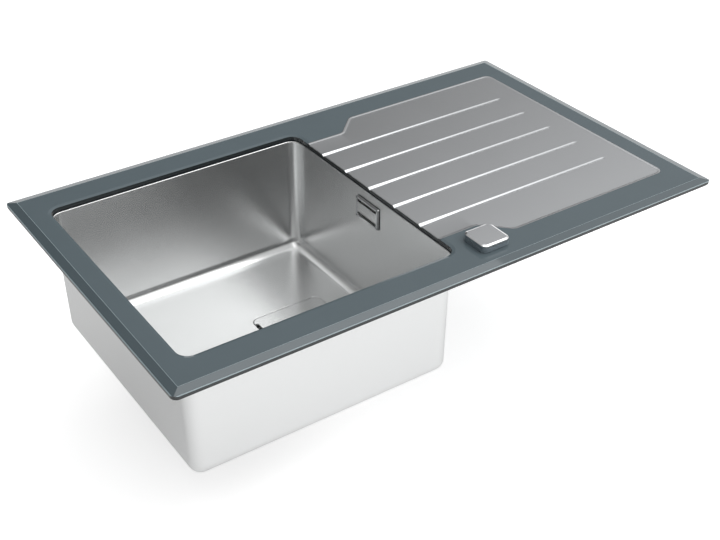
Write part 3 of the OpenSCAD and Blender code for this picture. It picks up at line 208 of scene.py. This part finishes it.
# Rolled stainless sheet with a linen-brushed face: darker, with fine lines along its length
brushed_steel = finish("linen_brushed_stainless_sheet", "#c5c7c9", 0.24, 1.0, (0.5, 1, 1), 1.2, 0, tone=0.008,
                       rough_tone=0.008)
# Stainless steel, ground and buffed: sharp bright reflections
polished_steel = finish("polished_stainless_steel", "#d6d7d8", 0.1, 1.0, (0.05, 1, 1), 2, 0, tone=0.01,
                        rough_tone=0.03)
# Zinc-plated pressed steel: bright, with a slightly cloudy bluish bloom
zinc_steel = finish("zinc_plated_steel", "#b4b9bd", 0.34, 1.0, (1, 1, 1), 3, 0.004, tone=0.12)
# Turned brass with faint tool lines
brass = finish("turned_brass", "#c3a35c", 0.28, 1.0, (1, 1, 0.1), 0.6, 0.004)
# Moulded ABS, blue-grey and black, with a fine satin texture
grey_plastic = finish("moulded_abs", "#7d8991", 0.42, 0.0, (1, 1, 1), 0.5, 0.01)
black_plastic = finish("moulded_black_abs", "#1b1c1e", 0.45, 0.0, (1, 1, 1), 0.5, 0.01)
# Injection-moulded polypropylene, slightly waxy white
white_plastic = finish("moulded_polypropylene", "#dcdcd6", 0.42, 0.0, (1, 1, 1), 1.2, 0.01, tone=0.03)
# The same plastic blown into a ribbed hose, a little greyer
grey_hose = finish("corrugated_polypropylene", "#b9bab8", 0.45, 0.0, (1, 1, 1), 1.2, 0.01, tone=0.03)
# Moulded rubber: nearly black and dull
black_rubber = finish("moulded_epdm_rubber", "#191919", 0.62, 0.0, (1, 1, 1), 0.6, 0.01)
# Foam seal: dull black with open pores
foam_rubber = finish("closed_cell_foam", "#1d1d1e", 0.85, 0.0, (1, 1, 1), 0.8, 0.06, tone=0.15)
# Silicone out of a nozzle: black with a soft shine and slow waves
black_sealant = finish("cured_silicone", "#202122", 0.5, 0.0, (1, 1, 1), 4, 0.03)
# Bitumen mat against noise: dull grey and grainy
grey_foam = finish("sound_deadening_mat", "#4a4b4d", 0.8, 0.0, (1, 1, 1), 1.5, 0.08, tone=0.15)

FINISHES = {
    "grey_glass": grey_glass, "brushed_steel": brushed_steel, "satin_steel": satin_steel,
    "polished_steel": polished_steel, "zinc_steel": zinc_steel, "brass": brass, "black_rubber": black_rubber,
    "foam_rubber": foam_rubber, "black_sealant": black_sealant, "grey_foam": grey_foam,
    "white_plastic": white_plastic, "black_plastic": black_plastic, "grey_plastic": grey_plastic,
    "grey_hose": grey_hose}
for part in frame["record"]["subparts"]:
    mesh = frame["nodes"][part["node"]].data
    mesh.materials.clear()
    mesh.materials.append(FINISHES[part["material_slot"]])


def made(name, bm, materials, body, nodes, smooth=35.0):
    """A finished piece from a bmesh: smooth faces with sharp edges kept, riding on a body in place of CAD nodes."""
    bmesh.ops.remove_doubles(bm, verts=bm.verts[:], dist=2 * WELD)
    bmesh.ops.recalc_face_normals(bm, faces=bm.faces[:])
    mesh = bpy.data.meshes.new(name)
    bm.to_mesh(mesh)
    bm.free()
    for material in materials:
        mesh.materials.append(material)
    mesh.polygons.foreach_set("use_smooth", [True] * len(mesh.polygons))
    mesh.set_sharp_from_angle(angle=math.radians(smooth))
    piece = bpy.data.objects.new(name, mesh)
    bpy.context.scene.collection.objects.link(piece)
    weigh = piece.modifiers.new("flat_faces", "WEIGHTED_NORMAL")
    weigh.keep_sharp = True
    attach(piece, body)
    if nodes:
        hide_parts(*nodes)
    return piece


def thick(piece, wall, side=-1):
    """Gives a surface its wall, inwards at side -1 and outwards at 1, before its faces are weighted."""
    layer = piece.modifiers.new("wall", "SOLIDIFY")
    layer.thickness, layer.offset = wall, side
    piece.modifiers.move(1, 0)


def sheet(bm, x0, x1, y0, y1, z, corner, segments=10):
    """One flat face with four rounded corners."""
    corners = [bm.verts.new(p) for p in ((x0, y0, z), (x1, y0, z), (x1, y1, z), (x0, y1, z))]
    old = set(bm.faces)
    bm.faces.new(corners)
    bmesh.ops.bevel(bm, geom=corners, affect="VERTICES", offset=corner, segments=segments, profile=0.5, material=-1)
    return next(f for f in bm.faces if f not in old)


def raised(bm, face, dz):
    """The face pushed straight up by dz, with walls between; returns the new end face."""
    out = bmesh.ops.extrude_face_region(bm, geom=[face])["geom"]
    bmesh.ops.translate(bm, verts=[g for g in out if isinstance(g, bmesh.types.BMVert)], vec=(0, 0, dz))
    if any(len(edge.link_faces) > 2 for edge in face.edges):
        bmesh.ops.delete(bm, geom=[face], context="FACES_ONLY")
    return next(g for g in out if isinstance(g, bmesh.types.BMFace))


def inset(bm, face, width, dz=0.0):
    """The face shrunk evenly by width and moved by dz; returns the inner face."""
    bmesh.ops.inset_region(bm, faces=[face], thickness=width, use_even_offset=True, use_boundary=True)
    bmesh.ops.translate(bm, verts=face.verts[:], vec=(0, 0, dz))
    return face


def carve(bm, cutter, operation="DIFFERENCE"):
    """bm with the closed cutter taken away or joined on."""
    objects = []
    for source in (bm, cutter):
        bmesh.ops.recalc_face_normals(source, faces=source.faces[:])
        mesh = bpy.data.meshes.new("blank")
        source.to_mesh(mesh)
        source.free()
        objects.append(bpy.data.objects.new("blank", mesh))
        bpy.context.scene.collection.objects.link(objects[-1])
    cut = objects[0].modifiers.new("cut", "BOOLEAN")
    cut.operation, cut.solver, cut.object = operation, "EXACT", objects[1]
    bpy.context.view_layer.update()
    result = bmesh.new()
    result.from_object(objects[0], bpy.context.evaluated_depsgraph_get())
    for blank in objects:
        mesh = blank.data
        bpy.data.objects.remove(blank)
        bpy.data.meshes.remove(mesh)
    return result


def panel_outline(bm, grow, x0, z, segments=8):
    """The drainer's outline as one face: diagonal corners beside the bowl, round corners at the right."""
    half = (panel_high.y - panel_low.y) / 2 + grow
    near = half - notch_d
    xa = panel_x0 + notch_len - grow * math.tan(math.radians(22.5))
    xb, x1 = xa + notch_d, panel_high.x + grow
    points = [(x0, -near), (xa, -near), (xb, -half), (x1, -half), (x1, half), (xb, half), (xa, near), (x0, near)]
    verts = [bm.verts.new((x, y, z)) for x, y in points]
    old = set(bm.faces)
    bm.faces.new(verts)
    for chosen, radius in ((verts[3:5], panel_corner + grow), ([verts[i] for i in (1, 2, 5, 6)], notch_corner)):
        bmesh.ops.bevel(bm, geom=chosen, affect="VERTICES", offset=radius, segments=segments, profile=0.5,
                        material=-1)
    return next(f for f in bm.faces if f not in old)


def groove_wedges(z, lift):
    """The tapered grooves as closed pointed bodies with a rounded section, down from height z and up by lift."""
    bm = bmesh.new()
    profile = (*groove_shares, (0, 1), *((-t, depth) for t, depth in reversed(groove_shares)))
    for i in range(groove_count):
        y = (i - (groove_count - 1) / 2) * groove_pitch
        rings = []
        for along, width, deep in groove_sections:
            x = panel_x0 + along
            low = [bm.verts.new((x, y + t * width / 2, z - deep * depth)) for t, depth in profile]
            rings.append([bm.verts.new((x, low[0].co.y, z + lift)), *low,
                          bm.verts.new((x, low[-1].co.y, z + lift))])
        tip = bm.verts.new((panel_x0 + groove_len, y, z))
        tip_high = bm.verts.new((panel_x0 + groove_len, y, z + lift))
        bm.faces.new(rings[0])
        for near, far in zip(rings, rings[1:]):
            for k in range(len(near)):
                bm.faces.new((near[k - 1], near[k], far[k], far[k - 1]))
        for a, b in zip(far[1:-1], far[2:-1]):
            bm.faces.new((a, b, tip))
        bm.faces.new((far[0], far[1], tip, tip_high))
        bm.faces.new((far[-2], far[-1], tip_high, tip))
        bm.faces.new((far[-1], far[0], tip_high))
    return bm


def glass_top():
    """Bevelled plate with mitred bevels, the bowl cut-out with its arris, the drainer's recess and the knob's hole."""
    bm = bmesh.new()
    face = sheet(bm, glass_low.x, glass_high.x, glass_low.y, glass_high.y, z_under, plate_corner)
    raised(bm, face, z_top - z_under)
    for slope, low in ((bevel_drop / bevel_w, 0), (math.tan(edge_slope), edge_drop)):
        for nx, ny in SIDES:
            edge = Vector((glass_high.x * nx, glass_high.y * ny, z_top - bevel_drop - low))
            out = bmesh.ops.bisect_plane(
                bm, geom=bm.verts[:] + bm.edges[:] + bm.faces[:], plane_co=edge, dist=WELD,
                plane_no=Vector((nx * slope, ny * slope, 1)).normalized(), clear_outer=True)
            bmesh.ops.contextual_create(bm, geom=[g for g in out["geom_cut"] if isinstance(g, bmesh.types.BMEdge)])
    flat = bevel_w + ground_highlight_w
    for nx, ny in SIDES:
        line = Vector((glass_high.x * nx, glass_high.y * ny, z_top)) - Vector((nx, ny, 0)) * flat
        bmesh.ops.bisect_plane(bm, geom=bm.verts[:] + bm.edges[:] + bm.faces[:], plane_co=line, plane_no=(nx, ny, 0))
    cutter = bmesh.new()
    grow = 2 * arris_w
    top = sheet(cutter, cut_x0 - grow, cut_x1 + grow, -cut_size / 2 - grow, cut_size / 2 + grow,
                z_top + arris_drop, cut_corner + grow)
    cutter.faces.new([cutter.verts.new(v.co) for v in reversed(top.verts)])
    raised(cutter, inset(cutter, top, grow, -2 * arris_drop), z_under - z_top - OVERRUN)
    bmesh.ops.remove_doubles(cutter, verts=cutter.verts[:], dist=WELD)
    bm = carve(bm, cutter)
    cutter = bmesh.new()
    z_panel_under = z_top - field_drop - panel_t
    raised(cutter, panel_outline(cutter, side_gap, panel_x0 - groove_start, z_panel_under - under_gap), 20 * MM)
    bm = carve(bm, cutter)
    bm = carve(bm, groove_wedges(z_panel_under - groove_gap, groove_lift))
    cutter = bmesh.new()
    bmesh.ops.create_cone(cutter, cap_ends=True, segments=64, radius1=knob_hole_r, radius2=knob_hole_r, depth=40 * MM,
                          matrix=Matrix.Translation((knob_x, knob_y, 0)))
    bm = carve(bm, cutter)
    # Upright edges get the dark edge glass. The bevels get the glass copy with painted light. The rim slope and the
    # line inside the bevel get the pale painted highlight.
    for face in bm.faces:
        normal = face.normal
        if abs(normal.z) < 0.5:
            face.material_index = 2
        elif normal.z > 0:
            middle = face.calc_center_median()
            inward = min(glass_high.x - abs(middle.x), glass_high.y - abs(middle.y))
            if inward < rim_highlight_w:
                face.material_index = 3
            elif inward < bevel_w:
                face.material_index = 1
            elif inward < flat:
                face.material_index = 3
    return made("glass_plate", bm, [grey_glass, glass_bevel_painted_light, glass_edge, glass_highlight_line], "sink", ["glass_top"],
                3)


def drain_pan(bm, floor):
    """The bowl's floor round the drain: it falls to a square recess whose pan has a round hole."""
    outer = floor.edges[:]
    bmesh.ops.delete(bm, geom=[floor], context="FACES_ONLY")
    pan = sheet(bm, drain_x - recess_half, drain_x + recess_half, -recess_half, recess_half, z_drain,
                recess_corner, 8)
    rim = pan.edges[:]
    pan = raised(bm, pan, cover_low.z - z_drain - pan_gap)
    lid = [f for f in bm.faces if len(f.verts) > 20 and abs(f.calc_center_median().z - z_drain) < 10 * WELD]
    bmesh.ops.delete(bm, geom=lid, context="FACES_ONLY")
    bmesh.ops.bridge_loops(bm, edges=outer + rim)
    pan = inset(bm, pan, pan_step)
    bmesh.ops.bisect_edges(bm, edges=[e for e in pan.edges if e.calc_length() > pan_step], cuts=hole_cuts)
    centre = Vector((drain_x, 0, pan.verts[0].co.z))
    for v in pan.verts:
        v.co = centre + (v.co - centre).normalized() * hole_r
    bmesh.ops.delete(bm, geom=[pan], context="FACES_ONLY")
    bmesh.ops.bevel(bm, geom=rim, affect="EDGES", offset=recess_edge_r, segments=3, profile=0.5,
                    material=-1)


def overflow_window(bm):
    """The opening behind the overflow's plate, in the bowl's right wall."""
    cuts = [(Vector((0, y, 0)), (0, 1, 0)) for y in (window_w / 2, -window_w / 2)]
    cuts += [(Vector((0, 0, z)), (0, 0, 1)) for z in (over_z + window_h / 2, over_z - window_h / 2)]
    for place, across in cuts:
        wall = [f for f in bm.faces if f.normal.x < -0.99 and f.calc_center_median().x > bowl_x]
        bmesh.ops.bisect_plane(
            bm, geom=list({v for f in wall for v in f.verts}) + list({e for f in wall for e in f.edges}) + wall,
            plane_co=place, plane_no=across)
    middle = Vector((over_high.x, 0, over_z))
    window = [f for f in bm.faces if abs(f.normal.x) > 0.99 and f.calc_center_median().x > bowl_x
              and (f.calc_center_median() - middle).length < 5 * MM]
    bmesh.ops.delete(bm, geom=window, context="FACES")


def bowl():
    """Drawn bowl: flange with a rounded lip, upright walls with round corners, and a coved floor."""
    bm = bmesh.new()
    half = cut_size / 2 - reveal
    z_flange = bowl_high.z
    face = sheet(bm, bowl_x - half - flange_w, bowl_x + half + flange_w, -half - flange_w, half + flange_w, z_flange,
                 wall_corner + flange_w, 8)
    face = inset(bm, face, flange_w)
    mouth = face.edges[:]
    face = raised(bm, face, z_floor - z_flange)
    shrink = 1 - draft / half
    bmesh.ops.scale(bm, vec=(shrink, shrink, 1), verts=face.verts[:],
                    space=Matrix.Translation((-bowl_x, 0, 0)))
    for edges, radius, segments in ((face.edges[:], cove, 8), (mouth, mouth_r, 3)):
        bmesh.ops.bevel(bm, geom=edges, affect="EDGES", offset=radius, segments=segments, profile=0.5, material=-1)
    level = [f for f in bm.faces if abs(f.normal.z) > 0.99]
    drain_pan(bm, min(level, key=lambda f: f.calc_center_median().z))
    overflow_window(bm)
    shell = made("drawn_bowl", bm, [satin_steel], "sink", ["bowl"], 50)
    thick(shell, sheet_t, 1)


def drainer_panel():
    """Pressed panel: flat rim, short slope, lower field and grooves that taper away from the bowl."""
    bm = bmesh.new()
    z_field = z_top - field_drop
    base = panel_outline(bm, 0, panel_x0 - 5 * OVERRUN, z_top - panel_t)
    top = raised(bm, base, panel_t)
    top = inset(bm, inset(bm, top, rim_w), slope_w, -field_drop)
    under = min((f for f in bm.faces if len(f.verts) > 20), key=lambda f: f.calc_center_median().z)
    inset(bm, inset(bm, under, rim_w), under_slope_w, -field_drop)
    bm = carve(bm, groove_wedges(z_field - panel_t, groove_lift), "UNION")
    bm = carve(bm, groove_wedges(z_field, groove_lift))
    cutter = bmesh.new()
    block = 100 * MM
    bmesh.ops.create_cube(cutter, size=1, matrix=Matrix.Translation((panel_x0 - block / 2, 0, z_top))
                          @ Matrix.Diagonal((block, 1, block, 1)))
    bm = carve(bm, cutter)
    return made("pressed_drainer", bm, [brushed_steel], "sink", ["drainer_panel"], 45)


def softened(bm, angle, width, segments=2):
    """Every edge sharper than an angle in degrees, rounded by a small width."""
    edges = [e for e in bm.edges if e.is_manifold and e.calc_face_angle(0) > math.radians(angle)]
    bmesh.ops.bevel(bm, geom=edges, affect="EDGES", offset=width, segments=segments, profile=0.5, material=-1)


def knob():
    """Square turning knob: a dark lined grip under a steel cap with a polished sloping edge."""
    bm = bmesh.new()
    face = sheet(bm, cap_low.x, cap_high.x, cap_low.y, cap_high.y, cap_low.z, knob_corner, 12)
    face = raised(bm, face, cap_high.z - cap_low.z - cap_slope_h)
    inset(bm, face, cap_slope_w, cap_slope_h)
    for f in bm.faces:
        f.normal_update()
        if 0.5 < f.normal.z < 0.99:
            f.material_index = 1
    softened(bm, 12, knob_edge_r)
    made("steel_cap", bm, [brushed_steel, polished_steel], "knob", ["knob_cap"], 20)
    bm = bmesh.new()
    face = sheet(bm, cap_low.x, cap_high.x, cap_low.y, cap_high.y, grip_low.z, knob_corner, 12)
    band = (cap_low.z - grip_low.z - grip_lines * grip_line_w) / (grip_lines + 1)
    for i in range(grip_lines):
        face = raised(bm, face, band)
        face = inset(bm, face, grip_line_d)
        face = raised(bm, face, grip_line_w)
        face = inset(bm, face, -grip_line_d)
    raised(bm, face, band)
    made("lined_grip", bm, [grey_plastic], "knob", ["knob_grip"], 20)


def drain_cover():
    """Square cover with soft edges and a slot along its left side."""
    bm = bmesh.new()
    face = sheet(bm, cover_low.x, cover_high.x, cover_low.y, cover_high.y, cover_low.z, cover_corner, 12)
    raised(bm, face, cover_high.z - cover_low.z)
    cutter = bmesh.new()
    bmesh.ops.create_cube(cutter, size=1, matrix=Matrix.Translation((cover_low.x, 0, cover_low.z))
                          @ Matrix.Diagonal((slot_depth, slot_len, slot_h, 1)))
    bm = carve(bm, cutter)
    softened(bm, 40, cover_edge_r, 3)
    made("square_cover", bm, [satin_steel], "cover", ["drain_cover"], 50)


def overflow_front():
    """Bevelled frame and raised plate of the overflow, on the bowl's right wall."""
    centre = Vector((over_high.x - frame_foot, 0, over_z))
    place = Matrix.Translation(centre) @ Matrix.Rotation(wall_tilt, 4, "Y") @ Matrix(
        ((0, 0, -1, 0), (-1, 0, 0, 0), (0, 1, 0, 0), (0, 0, 0, 1)))
    bm = bmesh.new()
    face = sheet(bm, -frame_w / 2, frame_w / 2, -frame_h / 2, frame_h / 2, 0, frame_corner, 6)
    face = raised(bm, face, frame_foot)
    face = inset(bm, face, frame_slope_w, frame_slope_h)
    face = inset(bm, face, frame_band)
    face = raised(bm, face, -frame_depth)
    back = [f for f in bm.faces if f == face or (len(f.verts) > 20 and abs(f.calc_center_median().z) < 100 * WELD)]
    bmesh.ops.delete(bm, geom=back, context="FACES_ONLY")
    softened(bm, 15, frame_edge_r)
    bmesh.ops.transform(bm, matrix=place, verts=bm.verts[:])
    made("overflow_surround", bm, [polished_steel], "sink", ["overflow_frame"], 20)
    bm = bmesh.new()
    face = sheet(bm, -insert_half, insert_half, insert_low, insert_high, insert_back, insert_corner, 4)
    raised(bm, face, insert_t)
    softened(bm, 40, insert_edge_r, 3)
    bmesh.ops.transform(bm, matrix=place, verts=bm.verts[:])
    made("overflow_plate", bm, [satin_steel], "sink", ["overflow_insert"], 50)


def tube(points, radii, segments=32):
    """A round tube surface swept along a path, one ring at each point."""
    bm = bmesh.new()
    turn, heading, last = Vector((0, 0, 1)).rotation_difference(points[1] - points[0]), points[1] - points[0], None
    for i, (point, radius) in enumerate(zip(points, radii)):
        ahead = points[min(i + 1, len(points) - 1)] - points[max(i - 1, 0)]
        turn = heading.rotation_difference(ahead) @ turn
        heading = ahead
        place = Matrix.Translation(point) @ turn.to_matrix().to_4x4() @ Matrix.Diagonal((radius, radius, radius, 1))
        if last is None:
            bmesh.ops.create_circle(bm, segments=segments, radius=1, matrix=place)
            ring = bm.edges[:]
        else:
            out = bmesh.ops.extrude_edge_only(bm, edges=ring)["geom"]
            ring = [g for g in out if isinstance(g, bmesh.types.BMEdge)]
            bmesh.ops.transform(bm, matrix=place @ last.inverted(),
                                verts=[g for g in out if isinstance(g, bmesh.types.BMVert)])
        last = place
    return bm


def overflow_hose():
    """Ribbed hose: down from the overflow, round a bend and level to the waste, plain at both ends."""
    down = Vector((-math.sin(wall_tilt), 0, -math.cos(wall_tilt)))
    drop = (hose_start.z - hose_level - hose_bend * (1 - math.sin(wall_tilt))) / math.cos(wall_tilt)
    centre = hose_start + down * drop + Vector((-math.cos(wall_tilt), 0, math.sin(wall_tilt))) * hose_bend
    arc = (math.pi / 2 - wall_tilt) * hose_bend
    length = drop + arc + centre.x - hose_end
    ribbed = math.floor((length - 2 * hose_plain) / hose_pitch) * hose_pitch
    points, radii = [], []
    steps = round(length / (hose_pitch / 10))
    for i in range(steps + 1):
        s = length * i / steps
        if s < drop:
            points.append(hose_start + down * s)
        elif s < drop + arc:
            a = wall_tilt + (s - drop) / hose_bend
            points.append(centre + Vector((math.cos(a), 0, -math.sin(a))) * hose_bend)
        else:
            points.append(Vector((centre.x - (s - drop - arc), 0, hose_level)))
        turns = (s - hose_plain) / hose_pitch
        wave = -math.cos(turns * 2 * math.pi) if hose_plain < s < hose_plain + ribbed else 0
        radii.append(hose_r + hose_rib * wave)
    piece = made("corrugated_hose", tube(points, radii), [grey_hose], "sink", ["overflow_hose"], 60)
    thick(piece, tube_wall)


def cable():
    """Smooth round sheath on the cable's way from the knob's drum to the lever's case."""
    route = [Vector(p) * MM for p in (
        (64.5, -189, -13.5), (64.5, -176, -13.5), (64.5, -155, -18), (62, -130, -42), (59, -114, -86),
        (55, -103, -132), (47, -92, -174), (33, -82, -208), (10, -73, -230), (-18, -65, -238), (-45, -61, -238.5),
        (-60, -60, -238), (-75, -60, -238))]
    points, last = [], len(route) - 1
    for i in range(last):
        a, b, c, d = route[max(i - 1, 0)], route[i], route[i + 1], route[min(i + 2, last)]
        for k in range(8):
            t = k / 8
            points.append(0.5 * (2 * b + (c - a) * t + (2 * a - 5 * b + 4 * c - d) * t * t
                                 + (3 * b - a - 3 * c + d) * t ** 3))
    points.append(route[last])
    piece = made("cable_cover", tube(points, [cable_r] * len(points), 20), [black_plastic], "sink",
                 ["cable_sheath"], 60)
    thick(piece, tube_wall)


glass_top()
bowl()
overflow_hose()
cable()
drainer_panel()
knob()
drain_cover()
overflow_front()


# Studio: a pale floor under the sink, a low white band all round, a bright side of the sky, soft lamps above
def backdrop(name, bm, floor):
    """A stage piece that glows for camera, metal and glass; the floor keeps the object's shadow and glows less to
    one side in reflections. From behind both are clear."""
    mesh = bpy.data.meshes.new(name)
    bm.to_mesh(mesh)
    bm.free()
    material = bpy.data.materials.new(name + "_paint")
    material.use_nodes = True
    tree = material.node_tree
    tree.nodes.clear()
    ray = add(tree, "ShaderNodeLightPath")
    seen = add(tree, "ShaderNodeMath", {0: ray.outputs["Is Camera Ray"], 1: ray.outputs["Is Glossy Ray"]},
               operation="MAXIMUM")
    seen = add(tree, "ShaderNodeMath", {0: seen.outputs[0], 1: ray.outputs["Is Transmission Ray"]},
               operation="MAXIMUM")
    matt = add(tree, "ShaderNodeBsdfDiffuse", Color=paint("#d8d8d8"))
    glow = add(tree, "ShaderNodeEmission", Color=(1, 1, 1, 1), Strength=1.4)
    white = glow
    if floor:
        spot = add(tree, "ShaderNodeTexCoord")
        across = add(tree, "ShaderNodeVectorMath", {0: spot.outputs["Object"]}, operation="DOT_PRODUCT")
        across.inputs[1].default_value = (0.6, -0.8, 0)
        fade = add(tree, "ShaderNodeMapRange", {"Value": across.outputs["Value"]}, interpolation_type="SMOOTHSTEP",
                   From_Min=-0.8, From_Max=0.3, To_Min=0.08, To_Max=0.45)
        level = add(tree, "ShaderNodeMix", {0: ray.outputs["Is Glossy Ray"], 3: fade.outputs[0]}, data_type="FLOAT")
        level.inputs[2].default_value = 0.65
        tree.links.new(level.outputs[0], glow.inputs["Strength"])
        white = add(tree, "ShaderNodeAddShader", {0: glow.outputs[0], 1: matt.outputs[0]})
    mix = add(tree, "ShaderNodeMixShader", {0: seen.outputs[0], 1: matt.outputs[0], 2: white.outputs[0]})
    side = add(tree, "ShaderNodeNewGeometry")
    clear = add(tree, "ShaderNodeBsdfTransparent")
    mix = add(tree, "ShaderNodeMixShader", {0: side.outputs["Backfacing"], 1: mix.outputs[0], 2: clear.outputs[0]})
    add(tree, "ShaderNodeOutputMaterial", {"Surface": mix.outputs[0]})
    mesh.materials.append(material)
    obj = bpy.data.objects.new(name, mesh)
    bpy.context.scene.collection.objects.link(obj)


ROOM = 8.0
BAND = ROOM / 5
z_ground = cad_box[0].z
bm = bmesh.new()
bmesh.ops.create_circle(bm, cap_ends=True, segments=64, radius=ROOM, matrix=Matrix.Translation((0, 0, z_ground)))
backdrop("studio_floor", bm, True)
bm = bmesh.new()
bmesh.ops.create_cone(bm, cap_ends=False, segments=64, radius1=ROOM, radius2=ROOM, depth=BAND,
                      matrix=Matrix.Translation((0, 0, z_ground + BAND / 2)))
bmesh.ops.reverse_faces(bm, faces=bm.faces[:])
backdrop("studio_backdrop", bm, False)

world = bpy.data.worlds.new("studio")
bpy.context.scene.world = world
world.use_nodes = True
tree = world.node_tree
bright_side = Vector((0.45, -0.42, 0.79)).normalized()
place = add(tree, "ShaderNodeTexCoord")
toward = add(tree, "ShaderNodeVectorMath", {0: place.outputs["Generated"]}, operation="DOT_PRODUCT")
toward.inputs[1].default_value = bright_side
glow = add(tree, "ShaderNodeMapRange", {"Value": toward.outputs["Value"]}, interpolation_type="SMOOTHSTEP",
           From_Min=0.05, From_Max=0.95, To_Min=0.12, To_Max=1.5)
ray = add(tree, "ShaderNodeLightPath")
level = add(tree, "ShaderNodeMix", {0: ray.outputs["Is Camera Ray"], 2: glow.outputs[0]}, data_type="FLOAT")
level.inputs[3].default_value = 1.0
tree.links.new(level.outputs[0], tree.nodes["Background"].inputs["Strength"])
tree.nodes["Background"].inputs["Color"].default_value = (1, 1, 1, 1)


def softbox(name, place, target, size, power):
    """A square area lamp aimed at a point."""
    data = bpy.data.lights.new(name, "AREA")
    data.shape, data.size, data.energy = "SQUARE", size, power
    lamp = bpy.data.objects.new(name, data)
    lamp.location = place
    lamp.rotation_mode = "QUATERNION"
    lamp.rotation_quaternion = (Vector(target) - Vector(place)).to_track_quat("-Z", "Y")
    bpy.context.scene.collection.objects.link(lamp)


softbox("key_lamp", (1.8, -1.5, 2.4), (0, 0, 0), 1.6, 11)
softbox("top_lamp", (0.9, 0.3, 2.2), (0, 0, 0), 1.4, 9)

# Camera where the photograph's straight edges put it
camera = bpy.data.objects.new("camera", bpy.data.cameras.new("camera"))
camera.data.sensor_width = 36
camera.data.lens = 1197.72 / 720 * 36
camera.location = (-0.832275, -1.208075, 0.855974)
camera.rotation_mode = "QUATERNION"
camera.rotation_quaternion = Vector((0.4688, 0.6859, -0.5566)).to_track_quat("-Z", "Y")
bpy.context.scene.collection.objects.link(camera)
bpy.context.scene.camera = camera
bpy.context.scene.view_settings.view_transform = "Standard"
